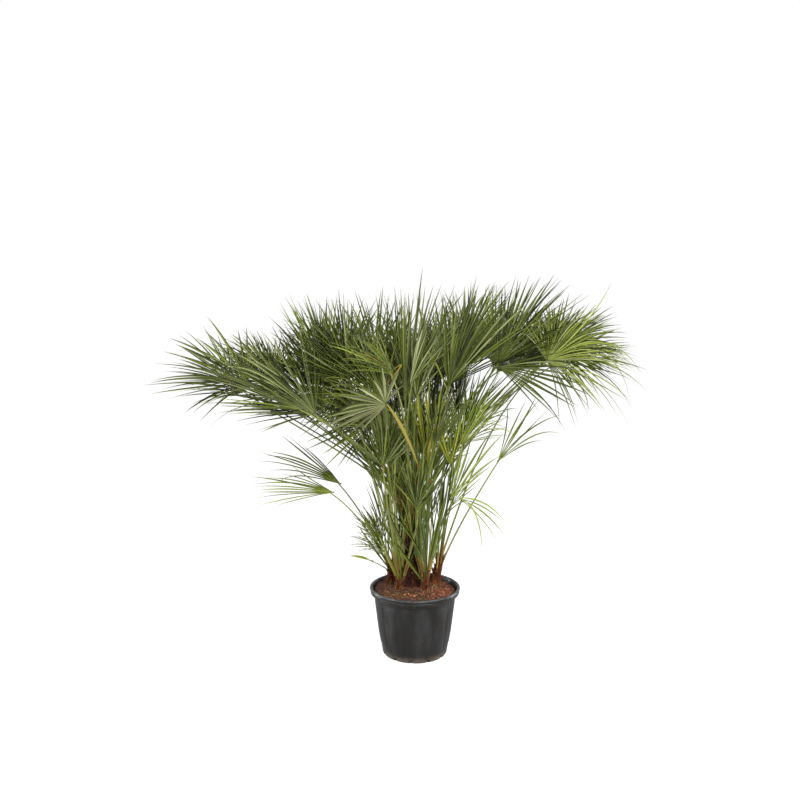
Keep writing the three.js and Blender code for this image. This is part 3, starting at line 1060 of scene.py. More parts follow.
FRONDS = [
    *numbered(
        "frond_left",
        ("trunk", (-0.425, -0.2, 1.125), (180, 60), (-72, 36), 0.5, 136, 0.35, 0.03, Tone.MOSS, Cut.FINE),
        ("trunk", (-0.725, -0.1, 1.245), (180, 70), (-70, 45), 0.41, 140, 0.3, 0.09, Tone.LEAF, Cut.YOUNG),
        ("trunk", (-0.47, -0.32, 1.16), (180, 76), (-70, 35), 0.38, 56, 0.3, 0.02),
        ("trunk", (-0.61, 0.2, 1.2), (165, 48), (-45, 55), 0.34, 130, 0.4, 0.04),
        ("trunk", (-0.4, 0.08, 1.22), (180, 22), (-45, 62), 0.43, 134, 0.35, 0.02, Tone.LEAF, Cut.FINE),
        ("trunk", (-0.7, 0.34, 1.2), (158, 50), (-50, 50), 0.34, 150, 0.4, 0.05, Tone.DEEP),
        ("trunk", (-0.4, 0.34, 1.21), (140, 20), (-50, 60), 0.42, 140, 0.4, 0.04),
    ),
    *numbered(
        "frond_middle",
        ("front", (-0.295, -0.06, 1.262), (-170, 8), (-80, 72), 0.34, 160, 0.3, 0.02, Tone.DEEP, Cut.WIDE),
        ("trunk", (-0.123, -0.4, 1.185), (180, 100), (-90, 40), 0.24, 110, 0.2, 0.04, Tone.SILVER, Cut.BROAD),
        ("front", (-0.14, -0.3, 0.915), (-80, 10), (-90, 75), 0.27, 90, 0.3, 0.03, Tone.MOSS, Cut.WIDE),
        ("trunk", (-0.047, -0.22, 1.215), (0, 15), (-50, 74), 0.51, 62, 0.3, 0.02, Tone.MOSS, Cut.FINE),
        ("trunk", (0.015, -0.06, 1.24), (0, 28), (-150, 62), 0.45, 74, 0.4, 0.03, Tone.SILVER, Cut.FINE),
        ("trunk", (-0.14, 0.18, 1.22), (150, 8), (-60, 75), 0.41, 110, 0.5, 0.04),
        ("middle", (0.11, 0.16, 1.23), (60, 10), (-120, 75), 0.43, 100, 0.5, 0.04),
        ("trunk", (-0.28, -0.02, 1.19), (190, 95), (-90, 78), 0.28, 160, 0.3, 0.04),
        ("trunk", (-0.02, 0.12, 1.14), (-160, 12), (-90, 70), 0.4, 120, 0.5, 0.05),
        ("trunk", (-0.128, -0.36, 1.187), (0, 8), (80, 75), 0.145, 90, 0.2, 0, Tone.SILVER, Cut.STRAPS),
        ("trunk", (-0.095, -0.15, 1.285), (180, 54), (-80, 42), 0.29, 70, 0.3, 0.12, Tone.FRESH, Cut.YOUNG),
    ),
    *numbered(
        "frond_right",
        ("trunk", (0.141, -0.16, 1.245), (0, 27), (-122, 60), 0.49, 100, 0.3, 0.03, Tone.DEEP, Cut.FINE),
        ("trunk", (0.37, 0.04, 1.32), (0, 32), (-126, 60), 0.49, 106, 0.3, 0.04, Tone.DEEP, Cut.FINE),
        ("trunk", (0.562, -0.12, 1.345), (0, 66), (-105, 58), 0.36, 196, 0.2, 0.14, Tone.LEAF, Cut.CURLED),
        ("right", (0.342, -0.2, 1.323), (-10, 106), (-120, 50), 0.37, 70, 0.3, 0.04, Tone.DEEP),
        ("right", (0.63, 0.15, 1.36), (5, 74), (-110, 42), 0.41, 140, 0.35, 0.12, Tone.LEAF, Cut.CURLED),
        ("trunk", (0.48, 0.33, 1.27), (10, 44), (-125, 55), 0.45, 120, 0.4, 0.05, Tone.DEEP),
        ("trunk", (0.62, 0.4, 1.31), (28, 50), (-130, 50), 0.4, 150, 0.4, 0.07),
        ("trunk", (0.26, 0.3, 1.3), (40, 22), (-120, 62), 0.43, 120, 0.45, 0.05, Tone.DEEP),
    ),
    *numbered(
        "frond_back",
        ("trunk", (-0.32, 0.45, 1.29), (118, 52), None, 0.45, 170, 0.4, 0.13),
        ("back", (-0.04, 0.47, 1.26), (90, 60), None, 0.46, 170, 0.4, 0.13, Tone.DEEP),
        ("trunk", (0.21, 0.46, 1.32), (62, 50), None, 0.45, 170, 0.4, 0.13),
        ("trunk", (0.43, 0.46, 1.3), (45, 56), None, 0.43, 170, 0.4, 0.16, Tone.MOSS),
        ("trunk", (-0.54, 0.43, 1.215), (142, 62), None, 0.43, 170, 0.4, 0.16),
        ("trunk", (0.08, 0.4, 1.04), (80, 84), None, 0.38, 170, 0.4, 0.16, Tone.MOSS),
    ),
    *numbered(
        "young_frond_right",
        ("right", (0.155, -0.11, 0.735), (0, 27), (-115, 58), 0.36, 52, 0.3, 0.03, Tone.BRIGHT, Cut.YOUNG),
        ("right", (0.19, -0.13, 0.745), (-10, 114), (-90, 32), 0.25, 46, 0.2, 0.2, Tone.BRIGHT, Cut.SPARSE),
        ("right", (0.376, 0.03, 0.88), (0, 36), (-110, 58), 0.38, 44, 0.3, 0.06, Tone.BRIGHT, Cut.PLUME),
        ("right", (0.19, 0.06, 0.97), (20, 14), (-115, 68), 0.33, 80, 0.4, 0.04, Tone.BRIGHT, Cut.PLUME),
        ("right", (0.24, -0.03, 1.03), (0, 34), (-110, 62), 0.31, 76, 0.4, 0.05, Tone.BRIGHT, Cut.PLUME),
        ("middle", (0.15, -0.12, 0.89), (0, 5), (-90, 78), 0.26, 44, 0.3, 0.03, Tone.SUNLIT, Cut.YOUNG),
    ),
    *numbered(
        "young_frond_left",
        ("left", (-0.367, 0, 0.743), (180, 81), (-85, 45), 0.37, 48, 0.3, 0.05, Tone.FRESH, Cut.HAIR),
        ("left", (-0.342, 0.09, 0.763), (172, 60), (-85, 50), 0.42, 42, 0.3, 0.06, Tone.LEAF, Cut.HAIR),
        ("front", (-0.19, 0, 1.06), (190, 100), (-90, 75), 0.3, 110, 0.3, 0.05, Tone.LEAF, Cut.YOUNG),
        ("left", (-0.15, -0.02, 0.49), (185, 66), (-85, 60), 0.17, 50, 0.2, 0.1, Tone.DEEP, Cut.THIN),
        ("left", (-0.15, 0.06, 0.51), (170, 22), (-85, 60), 0.2, 70, 0.3, 0.06, Tone.LEAF, Cut.YOUNG),
        ("left", (-0.19, -0.05, 0.44), (180, 70), (-85, 40), 0.115, 14, 0.1, 0.04, Tone.LEAF, Cut.LONE),
    ),
    *numbered(
        "young_frond_middle",
        ("middle", (0.03, -0.11, 0.48), (180, 28), (-90, 60), 0.29, 18, 0.2, 0.05, Tone.LEAF, Cut.SPARSE),
        ("middle", (0.005, -0.17, 0.71), (-90, 6), (-90, 80), 0.22, 80, 0.3, 0.03, Tone.MOSS, Cut.WIDE),
        ("front", (-0.1, -0.11, 0.74), (150, 8), (-90, 78), 0.33, 50, 0.3, 0.03, Tone.LEAF, Cut.YOUNG),
        ("middle", (0.06, -0.07, 0.86), (-90, 6), (-90, 84), 0.35, 50, 0.3, 0.03, Tone.SUNLIT, Cut.YOUNG),
    ),
    *numbered(
        "young_frond_back",
        ("back", (-0.06, 0.23, 0.82), (110, 12), (-70, 70), 0.33, 90, 0.4, 0.06, Tone.LEAF, Cut.YOUNG),
        ("back", (0.13, 0.3, 0.88), (60, 34), None, 0.3, 120, 0.4, 0.08, Tone.LEAF, Cut.YOUNG),
        ("left", (-0.165, 0.3, 0.8), (125, 40), None, 0.3, 110, 0.4, 0.08, Tone.LEAF, Cut.YOUNG),
        ("right", (0.11, 0.38, 0.77), (75, 66), None, 0.3, 110, 0.4, 0.08, Tone.LEAF, Cut.YOUNG),
    ),
]


def ray(way: Pair) -> Array:
    """The unit vector of a way, given as (turn from +X, lean from upright) in degrees."""
    turn, lean = (math.radians(angle) for angle in way)
    return np.array([math.sin(lean) * math.cos(turn), math.sin(lean) * math.sin(turn), math.cos(lean)])


def level_way(turn: float) -> Array:
    """The level unit vector at a turn from +X, in radians."""
    return np.array([math.cos(turn), math.sin(turn), 0])


def unit(vectors: Array) -> Array:
    """Vectors brought to length 1."""
    return vectors / np.maximum(np.linalg.norm(vectors, axis=-1, keepdims=True), 1e-12)


def square_to(vectors: Array, ways: Array) -> Array:
    """The unit parts of vectors that are square to the unit ways."""
    return unit(vectors - ways * np.sum(vectors * ways, -1, keepdims=True))


def rod_gaps(first: Array, second: Array) -> Array:
    """The least distances between each segment of one chain of points and each of another.

    Args:
        first: a chain of points.
        second: another chain.

    Returns:
        The distances, by the first chain's segments and the second's.
    """
    p, q = first[:-1, None], first[1:, None]
    r, s = second[None, :-1], second[None, 1:]
    u, v, w = q - p, s - r, p - r
    uu, vv, uv = (u * u).sum(-1), (v * v).sum(-1), (u * v).sum(-1)
    uw, vw = (u * w).sum(-1), (v * w).sum(-1)
    across = uu * vv - uv * uv
    start = np.where(across > 1e-18, (uv * vw - uw * vv) / np.maximum(across, 1e-30), 0)
    start = np.clip(start, 0, 1)
    end = np.clip((uv * start + vw) / vv, 0, 1)
    start = np.clip((uv * end - uw) / uu, 0, 1)
    return np.linalg.norm(p + u * start[..., None] - r - v * end[..., None], axis=-1)


@dataclass(eq=False)
class Frond:
    """One frond on its stem: its axes, and the curve of its stalk once it is seated."""

    plan: FrondPlan
    foot_radius: float = 0.003
    foot_share: float = 0.0044
    tip_share: float = 0.62
    rise: float = 0.28
    follow: float = 0.45
    sunk: float = 0.024
    steps: int = 5
    seat_below: float = 0.002
    seat_step: float = 0.008
    twist: float = math.radians(16)
    bow: float = 0.016
    taper: float = 0.32
    droop_power: float = 2.4
    swings: tuple[int, ...] = (0, 1, -1, 2, -2, 3, -3, 4, -4)

    def __post_init__(self) -> None:
        """Works out the blade's axes from the plan."""
        plan = self.plan
        self.stem = STEMS[plan.stem]
        self.hub = np.array(plan.hub)
        self.along = ray(plan.aim)
        face = plan.face or (plan.aim[0] + 180, 90 - plan.aim[1])
        self.upper = square_to(ray(face), self.along)
        self.across = np.cross(self.upper, self.along)
        far = self.hub - self.stem.axis_at(self.stem.rise)
        self.lean = math.atan2(math.hypot(far[0], far[1]), far[2])
        self.handles = np.zeros((4, 3))

    def stalk_radius(self, share: float | Array) -> float | Array:
        """Half the stalk's width, at a share of the way from its foot to the hub."""
        return (self.foot_radius + self.foot_share * self.plan.blade) * (1 + (self.tip_share - 1) * share)

    def stalk_curve(self, height: float, swing: int) -> Array:
        """The stalk's four handles, from a seat on the stem to the hub.

        Args:
            height: the seat's height above the soil.
            swing: how far the seat moves round the stem, and the stalk bows.

        Returns:
            The handles of a cubic curve.
        """
        axis = self.stem.axis_at(height)
        out = unit((self.hub - axis) * (1, 1, 0))
        side = np.array([-out[1], out[0], 0])
        turn = swing * self.twist
        way = out * math.cos(turn) + side * math.sin(turn)
        seat = axis + way * (self.stem.radius_at(height) - self.stalk_radius(0))
        end = self.hub + self.along * self.sunk
        chord = end - seat
        length = np.linalg.norm(chord)
        start = unit(unit(chord) + (0, 0, self.rise))
        finish = unit(unit(chord) * (1 - self.follow) + self.along * self.follow)
        bow = side * swing * self.bow * length
        return np.array([seat, seat + start * length / 3 + bow, end - finish * length / 3 + bow, end])

    def chord(self) -> float:
        """The straight distance from the stalk's foot to its end."""
        return float(np.linalg.norm(self.handles[3] - self.handles[0]))

    def stalk_points(self, shares: Array) -> Array:
        """The stalk's middle line at shares of the way."""
        return bezier(self.handles, shares)

    def clear_of(self, handles: Array, other: "Frond") -> bool:
        """Whether a stalk on those handles keeps clear of another frond's stalk.

        Args:
            handles: the stalk's four handles.
            other: the other frond.

        Returns:
            True if all of it is clear.
        """
        shares = np.linspace(0, 1, self.steps + 1)
        rods, others = bezier(handles, shares), other.stalk_points(shares)
        room = self.stalk_radius(shares[:-1])[:, None] + other.stalk_radius(shares[:-1])[None] + 2 * CLEAR
        return bool((rod_gaps(rods, others) >= room).all())

    def seat(self, seated: list["Frond"]) -> None:
        """Takes the highest seat, and the least swing, that is clear of the stalks before it.

        Args:
            seated: the fronds seated before it, to which it is added.
        """
        height = self.stem.rise - self.seat_below
        while height > self.stem.rise - self.stem.crown:
            for swing in self.swings:
                handles = self.stalk_curve(height, swing)
                if all(self.clear_of(handles, other) for other in seated):
                    self.handles = handles
                    seated.append(self)
                    return
            height -= self.seat_step
        raise ValueError(f"{self.plan.name} finds no clear seat")

    def rooted(self, share: float, swing: int) -> "Frond":
        """Sets the stalk's foot at a share of its stem's height, and returns the frond."""
        self.handles = self.stalk_curve(share * self.stem.rise, swing)
        return self

    def blade_length(self, bearings: Array) -> Array:
        """How long the leaflets at those bearings are."""
        shares = bearings / math.radians(self.plan.spread / 2)
        return self.plan.blade * (1 - self.taper * shares * shares)

    def ways(self, bearings: Array) -> Array:
        """The ways that leaflets at those bearings point, in the cupped fan.

        Args:
            bearings: angles from the blade's middle.

        Returns:
            Unit vectors.
        """
        sines = np.sin(bearings)[..., None]
        flat = self.along * np.cos(bearings)[..., None] + self.across * sines
        return unit(flat + self.upper * self.plan.cup * sines * sines)


def bezier(handles: Array, shares: Array) -> Array:
    """The points of a cubic curve at shares of the way.

    Args:
        handles: the curve's four handles.
        shares: shares of the way, from 0 to 1.

    Returns:
        The points.
    """
    t = shares[:, None]
    a, b, c, d = handles
    return a * (1 - t) ** 3 + 3 * b * t * (1 - t) ** 2 + 3 * c * t * t * (1 - t) + d * t**3


def heading(handles: Array, shares: Array) -> Array:
    """The unit vectors along a cubic curve at shares of the way."""
    return unit(bezier(handles, shares + 0.01) - bezier(handles, shares - 0.01))


@dataclass(eq=False)
class Rod:
    """A closed rod that is bent along curves, made once and repeated."""

    sides: int
    steps: int

    def __post_init__(self) -> None:
        """Makes the straight rod, from a cone of even width cut into rings."""
        shape = bmesh.new()
        even = {"radius1": 1, "radius2": 1, "depth": 1, "cap_ends": True, "cap_tris": True}
        bmesh.ops.create_cone(shape, segments=self.sides, **even)
        upright = [e for e in shape.edges if abs(e.verts[0].co.z - e.verts[1].co.z) > 0.5]
        bmesh.ops.subdivide_edges(shape, edges=upright, cuts=self.steps - 1)
        self.points, self.rows = template(shape)
        self.shares = np.clip(self.points[:, 2] + 0.5, 0, 1)

    def bend(self, handles: Array, upper: Array, wide: Array | float, high: Array | float) -> Array:
        """Bends the rod along a curve.

        Args:
            handles: the curve's four handles.
            upper: the way that the rod's upper side faces.
            wide: half its width, at each of the rod's points.
            high: half its height, at each of the rod's points.

        Returns:
            The bent rod's points.
        """
        centre, ahead = bezier(handles, self.shares), heading(handles, self.shares)
        upper = square_to(np.broadcast_to(upper, centre.shape), ahead)
        side = np.cross(ahead, upper)
        flat = side * (self.points[:, 0] * wide)[:, None]
        return centre + flat * -1 + upper * (self.points[:, 1] * high)[:, None]

    def add_to(
        self, batch: Batch, handles: Array, upper: Array, radius: float, taper: float, look: int
    ) -> None:
        """Adds a plain tapering rod of one look to a batch.

        Args:
            batch: where it goes.
            handles: the curve's four handles.
            upper: the way that the rod's upper side faces.
            radius: its radius at the foot.
            taper: its radius at the tip, as a share of that.
            look: the slot of its finish.
        """
        wide = radius * (1 + (taper - 1) * self.shares)
        points = self.bend(handles, upper, wide, wide)
        batch.add(points, [(rows, look) for rows in self.rows.values()])


@dataclass
class Ribbons:
    """Many folded strips of one plan, such as leaflets, as arrays over strips and stations."""

    centre: Array
    side: Array
    upper: Array
    half: Array
    fold: Array
    thick: Array
    fork: float = 0.0
    columns: Numbers = (-1, -0.52, -0.1, 0.1, 0.52, 1)

    def points(self) -> Array:
        """The strips' points: the upper layer's columns, then the under layer's inner columns.

        Returns:
            Points over strips, stations and columns.
        """
        across = np.array(self.columns)
        half, fold = self.half[..., None], self.fold[..., None]
        flat = across * half * np.cos(fold)
        lift = (np.abs(across) - 0.5) * half * np.sin(fold)
        inner = 1 - np.abs(across)
        thick = self.thick[..., None] * np.minimum(1, 2.2 * inner)
        layers = []
        for way, columns in ((0.5, slice(None)), (-0.5, slice(1, -1))):
            raised = lift + way * thick
            place = self.centre[..., None, :] + self.side[..., None, :] * flat[..., None]
            place = place + self.upper[..., None, :] * raised[..., None]
            layers.append(place[..., columns, :])
        points = np.concatenate(layers, -2)
        tips = unit(self.centre[:, -1] - self.centre[:, -2])
        wide = len(self.columns)
        for column in (*range(2, wide - 2), *range(wide + 1, 2 * wide - 3)):
            points[:, -1, column] -= tips * self.fork
        return points

    def faces(self, looks: Array) -> list[tuple[Array, Array]]:
        """The strips' faces with their slots.

        Args:
            looks: for each strip, the slots of its upper side, under side, rib, tip, and the shaded
                halves of its upper and under sides.

        Returns:
            Pairs of corner numbers and slot numbers, quads first.
        """
        strips, stations = self.half.shape
        wide = len(self.columns)
        row = 2 * wide - 2
        top = np.arange(wide)
        under = np.array([0, *range(wide, row), wide - 1])
        start = (np.arange(strips) * stations * row)[:, None, None]
        here = start + (np.arange(stations - 1) * row)[:, None]
        there = here + row
        upper_faces = np.stack([here + top[:-1], there + top[:-1], there + top[1:], here + top[1:]], -1)
        left, right = under[:-1], under[1:]
        under_faces = np.stack([here + left, here + right, there + right, there + left], -1)
        upper_looks = np.broadcast_to(looks[:, 0, None, None], upper_faces.shape[:-1]).copy()
        under_looks = np.broadcast_to(looks[:, 1, None, None], under_faces.shape[:-1]).copy()
        # Painted shade: on both sides, the half up to the rib takes the darker colour of the shaded halves.
        upper_looks[:, :, : wide // 2 - 1] = looks[:, 4, None, None]
        under_looks[:, :, : wide // 2 - 1] = looks[:, 5, None, None]
        upper_looks[:, :, wide // 2 - 1] = looks[:, 2, None]
        upper_looks[:, -1:] = looks[:, 3, None, None]
        under_looks[:, -1:] = looks[:, 3, None, None]
        ends, caps = [], []
        for station, flip in ((0, True), (stations - 1, False)):
            at = start[:, 0] + station * row
            mid = np.arange(1, wide - 2)
            quads = np.stack([at + top[mid], at + under[mid], at + under[mid + 1], at + top[mid + 1]], -1)
            left = np.stack([at[:, 0] + top[0], at[:, 0] + under[1], at[:, 0] + top[1]], -1)
            right = np.stack([at[:, 0] + top[-1], at[:, 0] + top[-2], at[:, 0] + under[-2]], -1)
            look = looks[:, 3] if station else looks[:, 1]
            ends.append((quads[..., ::-1] if flip else quads, look[:, None]))
            caps += [(tri[..., ::-1] if flip else tri, look) for tri in (left, right)]
        return [(upper_faces, upper_looks), (under_faces, under_looks), *ends, *caps]

    def add_to(self, batch: Batch, looks: Array) -> None:
        """Adds the strips to a batch, with each one's slots and a UV map along it.

        Args:
            batch: where they go.
            looks: the slots that the method faces takes.
        """
        strips, stations = self.half.shape
        across = np.array([*self.columns, *self.columns[1:-1]])
        places = np.zeros((strips, stations, len(across), 2))
        places[..., 0] = across + 2.7 * np.arange(strips)[:, None, None]
        places[..., 1] = np.linspace(0, 1, stations)[:, None] + 0.37 * np.arange(strips)[:, None, None]
        batch.add(self.points(), self.faces(looks), places)


def strip_along(path: Array, face: Array, half: Array, fold: float, thick: float, fork: float = 0) -> Ribbons:
    """Makes a single strip along a path.

    Args:
        path: the strip's middle line.
        face: the way that its upper side faces, roughly.
        half: its half widths, at each point of the path.
        fold: its fold.
        thick: its thickness.
        fork: how deep its tip is split.

    Returns:
        The strip.
    """
    ahead = unit(np.gradient(path, axis=0))
    upper = square_to(np.broadcast_to(face, path.shape), ahead)
    parts = (path, np.cross(upper, ahead), upper, half, np.full_like(half, fold), np.full_like(half, thick))
    return Ribbons(*(part[None] for part in parts), fork)


@dataclass(eq=False)
class Fan:
    """The leaflets of one frond."""

    frond: Frond
    dice: Chance
    more_own: int = 3
    limp_range: Pair = (0.4, 1)
    thinning: float = 0.4
    gap: float = 0.04

    def __post_init__(self) -> None:
        """Takes the cut of the leaflets, and counts them."""
        self.style = self.frond.plan.cut.value
        self.count = max(1, round(self.frond.plan.spread / self.style.pitch))

    def vary(self, spread: float) -> Array:
        """Draws a number about 0 for each leaflet."""
        return self.dice.normal(0, spread, self.count)[:, None]

    def leaflets(self) -> Ribbons:
        """Works out all the leaflets' strips.

        Returns:
            The strips, from hub to tip.
        """
        frond, style, count = self.frond, self.style, self.count
        pitch = math.radians(frond.plan.spread) / count
        even = (np.arange(count) + 0.5) * pitch - math.radians(frond.plan.spread) / 2
        long = frond.blade_length(even)[:, None]
        shares = np.array(style.stations)
        past = np.clip((shares - style.palm) / (1 - style.palm), 0, 1)
        stretch = np.minimum(1 + self.vary(style.length_spread), self.room(even, long))
        along = long * (shares + past * (stretch - 1))
        wander = np.radians(self.vary(style.bearing_spread)) * past
        centre = frond.hub + frond.ways(even[:, None] + wander) * along[..., None]
        hang = np.abs(self.vary(style.hang_spread))
        limp = self.dice.random(count) < style.limp_share
        hang = hang + (limp * self.dice.uniform(*self.limp_range, count) * style.limp_hang)[:, None]
        centre[..., 2] -= long * (frond.plan.droop * shares**frond.droop_power + hang * past**3)
        beside = unit(frond.ways(even + 0.01) - frond.ways(even - 0.01))[:, None]
        sweep = self.vary(style.sweep_spread) * long * past**2
        splay = self.vary(style.splay_spread) * long * past
        centre = centre + beside * sweep[..., None] + frond.upper * splay[..., None]
        ahead = unit(np.gradient(centre, axis=1))
        side = square_to(np.broadcast_to(beside, centre.shape), ahead)
        upper = np.cross(ahead, side)
        twist = (np.radians(self.vary(style.twist_spread)) * past**0.7)[..., None]
        side, upper = (
            side * np.cos(twist) + upper * np.sin(twist),
            upper * np.cos(twist) - side * np.sin(twist),
        )
        edge = np.tan(pitch / 2) * long * np.minimum(shares, style.palm)
        return Ribbons(centre, side, upper, *self.section(edge, shares, past), style.fork, style.columns)

    def section(self, edge: Array, shares: Array, past: Array) -> tuple[Array, Array, Array]:
        """Works out how wide, folded and thick the leaflets are.

        Args:
            edge: half of each leaflet's room in the palm.
            shares: the stations, as shares of the leaflet.
            past: the stations, as shares of its free part.

        Returns:
            The half widths, the folds and the thicknesses.
        """
        style = self.style
        shape = np.interp(past, *zip(*style.widths)) * style.belly
        width = np.where(past < style.widths[2][0], np.maximum(shape, 1), shape)
        folds = (style.hub_fold, style.palm_fold, style.fold, style.tip_fold)
        fold = np.radians(np.interp(shares, (0, style.palm, 0.5, 1), folds))
        fold = np.broadcast_to(fold, edge.shape)
        half = edge * width / np.cos(fold) * (1 - self.gap * smooth_step(past))
        return half, fold, np.broadcast_to(style.thick * (1 - self.thinning * shares), edge.shape)

    def room(self, bearings: Array, lengths: Array) -> Array:
        """Works out how far leaflets may reach before they leave the frame.

        Args:
            bearings: the leaflets' angles from the blade's middle.
            lengths: their lengths, as a column.

        Returns:
            The reach as shares of the lengths, as a column.
        """
        reach = self.frond.ways(bearings) * lengths
        reach = np.where(np.abs(reach) < 1e-6, 1e-6, reach)
        ends = np.where(reach > 0, np.array(cad_box[1]), np.array(cad_box[0]))
        return ((ends - self.frond.hub) / reach).min(1, keepdims=True)

    def looks(self, slots: dict[Tone, int]) -> Array:
        """Deals out the colours, mostly of the frond's own tone and some of its kin.

        Args:
            slots: the slot of each tone's first finish.

        Returns:
            For each leaflet, the slots that Ribbons.faces takes.
        """
        count, own = self.count, self.frond.plan.tone
        choice = np.array([slots[own]] * self.more_own + [slots[tone] for tone in kindred(own)])
        first = choice[self.dice.integers(len(choice), size=count)]
        shade = self.dice.integers(1, 4, count)
        # The shaded halves are painted shade: a darker upper colour of the same tone, and the darker under
        # colour.
        uppers, shaded = first + shade, first + (shade == 3)
        tips = np.where(self.dice.random(count) < self.style.dry_share, first + 6, uppers)
        looks = np.stack([uppers, first + 4, first + 5, tips, shaded, first + 7], 1)
        faded = self.dice.random(count) < self.style.faded_share
        looks[faded] = slots[Tone.STRAW] + np.array([1, 4, 5, 6, 0, 7])
        return looks


@dataclass
class Crown:
    """All the fronds: their stalks, spines, blades and hub scales, built in groups."""

    stalk_sides: int = 8
    stalk_steps: int = 22
    stalk_top: float = 0.3
    stalk_flat: float = 0.85
    brown_foot: float = 0.045
    tan_foot: float = 0.11
    codes: tuple[str, ...] = ("74482a", "a08848", "88944c", "728042", "989c58", "62703a", "66602e")
    clasp: Pair = (1.2, 0.03)
    scale_length: float = 0.012
    scale_step: float = 0.003
    scale_thick: float = 0.0012
    scale_shares: Numbers = (0, 0.3, 0.7, 1)
    scale_widths: Numbers = (1.1, 1.3, 0.9, 0.2)
    scale_fold: float = -0.4
    spine_gap: float = 0.017
    spine_length: float = 0.0036
    spine_foot: float = 0.16
    spine_sink: float = 0.9
    spine_slant: float = 0.9
    spine_taper: float = 0.3
    spine_range: Pair = (0.16, 0.86)
    accent_foot: float = 0.7
    extra_seed: int = 90

    def __post_init__(self) -> None:
        """Seats every frond by the same rule as the frame: upright ones first and highest."""
        self.fronds = [Frond(plan) for plan in FRONDS]
        seated: list[Frond] = []
        for frond in sorted(self.fronds, key=lambda f: f.lean):
            frond.seat(seated)

    def hub_scale(self, batch: Batch, frond: Frond) -> None:
        """Adds the small tongue that stands where a stalk meets its blade.

        Args:
            batch: where it goes.
            frond: the frond.
        """
        tongue = np.array(self.scale_shares)[:, None] * self.scale_length - self.scale_step
        path = frond.hub + frond.along * tongue + frond.upper * self.scale_step
        half = frond.stalk_radius(1) * np.array(self.scale_widths)
        scale = strip_along(path, frond.upper, half, self.scale_fold, self.scale_thick)
        scale.add_to(batch, np.full((1, 6), len(self.codes) - 1))

    def stalks(self, name: str, fronds: list[Frond], stands_for: Sequence[str]) -> None:
        """Builds a group's stalks, brown and wide at the foot and green above.

        Args:
            name: the piece's name.
            fronds: the group.
            stands_for: the frame's nodes that it replaces.
        """
        rod = Rod(self.stalk_sides, self.stalk_steps)
        rod.points[:, 1] = np.minimum(rod.points[:, 1], self.stalk_top)
        batch = Batch()
        for number, frond in enumerate(fronds):
            radius = frond.stalk_radius(rod.shares)
            clasp = 1 + self.clasp[0] * np.exp(-rod.shares / self.clasp[1])
            points = rod.bend(frond.handles, frond.upper, radius * clasp, radius * self.stalk_flat)
            faces = []
            for rows in rod.rows.values():
                reach = rod.shares[rows].mean(1) * frond.chord()
                brown, tan = reach < self.brown_foot, reach < self.tan_foot
                faces.append((rows, np.select([brown, tan], [0, 1], 2 + number % 4)))
            batch.add(points, faces)
            self.hub_scale(batch, frond)
        finishes = [LeafFinish(f"stalk_{i}", code).material() for i, code in enumerate(self.codes)]
        hand_over(name, batch.mesh(name, 50), finishes, stands_for)

    def spines(self, name: str, fronds: list[Frond]) -> None:
        """Builds the small forward-pointing spines along both edges of the stalks.

        Args:
            name: the piece's name.
            fronds: the group.
        """
        tooth = bmesh.new()
        bmesh.ops.create_cone(tooth, segments=3, radius1=self.spine_foot, radius2=0, depth=1, cap_ends=True)
        points, faces = template(tooth)
        local = points[None] + (0, 0, 0.4)
        batch = Batch()
        for frond in fronds:
            shares = np.arange(*self.spine_range, self.spine_gap / frond.chord())
            centre = frond.stalk_points(shares)
            ahead = heading(frond.handles, shares)
            side = square_to(np.broadcast_to(frond.across, centre.shape), ahead)
            upper = np.cross(side, ahead)
            radius = frond.stalk_radius(shares)[:, None]
            size = self.spine_length * (1 - self.spine_taper * shares)[:, None, None]
            shift = np.arange(len(shares))[:, None, None] * len(points)
            for hand in (-1, 1):
                way = unit(side * hand + ahead * self.spine_slant)
                axes = (np.cross(upper, way), upper, way)
                turned_points = sum(local[..., i : i + 1] * axis[:, None] for i, axis in enumerate(axes))
                root = (centre + side * hand * radius * self.spine_sink)[:, None]
                batch.add(root + size * turned_points, [(rows[None] + shift, 0) for rows in faces.values()])
        finishes = [PlainFinish("spine", "7c6f3c", 0.5).material()]
        hand_over(name, batch.mesh(name, 30), finishes)

    def blades(self, name: str, fronds: list[Frond], seed: int, stands_for: Sequence[str]) -> None:
        """Builds a group's leaflets.

        Args:
            name: the piece's name.
            fronds: the group.
            seed: the seed of its source of chance.
            stands_for: the frame's nodes that it replaces.
        """
        used = sorted({tone.name for frond in fronds for tone in kindred(frond.plan.tone)} | {"STRAW"})
        slots = {Tone[tone]: TONE_PARTS * number for number, tone in enumerate(used)}
        dice = np.random.default_rng(seed)
        batch = Batch()
        for frond in fronds:
            fan = Fan(frond, dice)
            fan.leaflets().add_to(batch, fan.looks(slots))
        finishes = [material for tone in used for material in Tone[tone].value.materials()]
        hand_over(name, batch.mesh(name, 28), finishes, stands_for)

    def build(self) -> None:
        """Builds every group of fronds and dresses it."""
        groups: dict[str, list[Frond]] = {}
        for frond in self.fronds:
            group = frond.plan.name.rsplit("_", 1)[0].replace("frond_", "")
            groups.setdefault(group, []).append(frond)
        for seed, (group, fronds) in enumerate(groups.items()):
            names = [frond.plan.name for frond in fronds]
            self.stalks(f"{group}_stalks", fronds, names)
            self.spines(f"{group}_spines", fronds)
            self.blades(f"{group}_leaflets", fronds, seed, names)
        extra = {shoots.name: shoots.grow() for shoots in SHOOTS}
        extra["companion"] = Companions().grow(self.fronds)
        extra["accent"] = [Frond(plan).rooted(self.accent_foot, 0) for plan in ACCENTS]
        for seed, (name, more) in enumerate(extra.items(), self.extra_seed):
            self.stalks(f"{name}_stalks", more, ())
            self.blades(f"{name}_leaflets", more, seed, ())


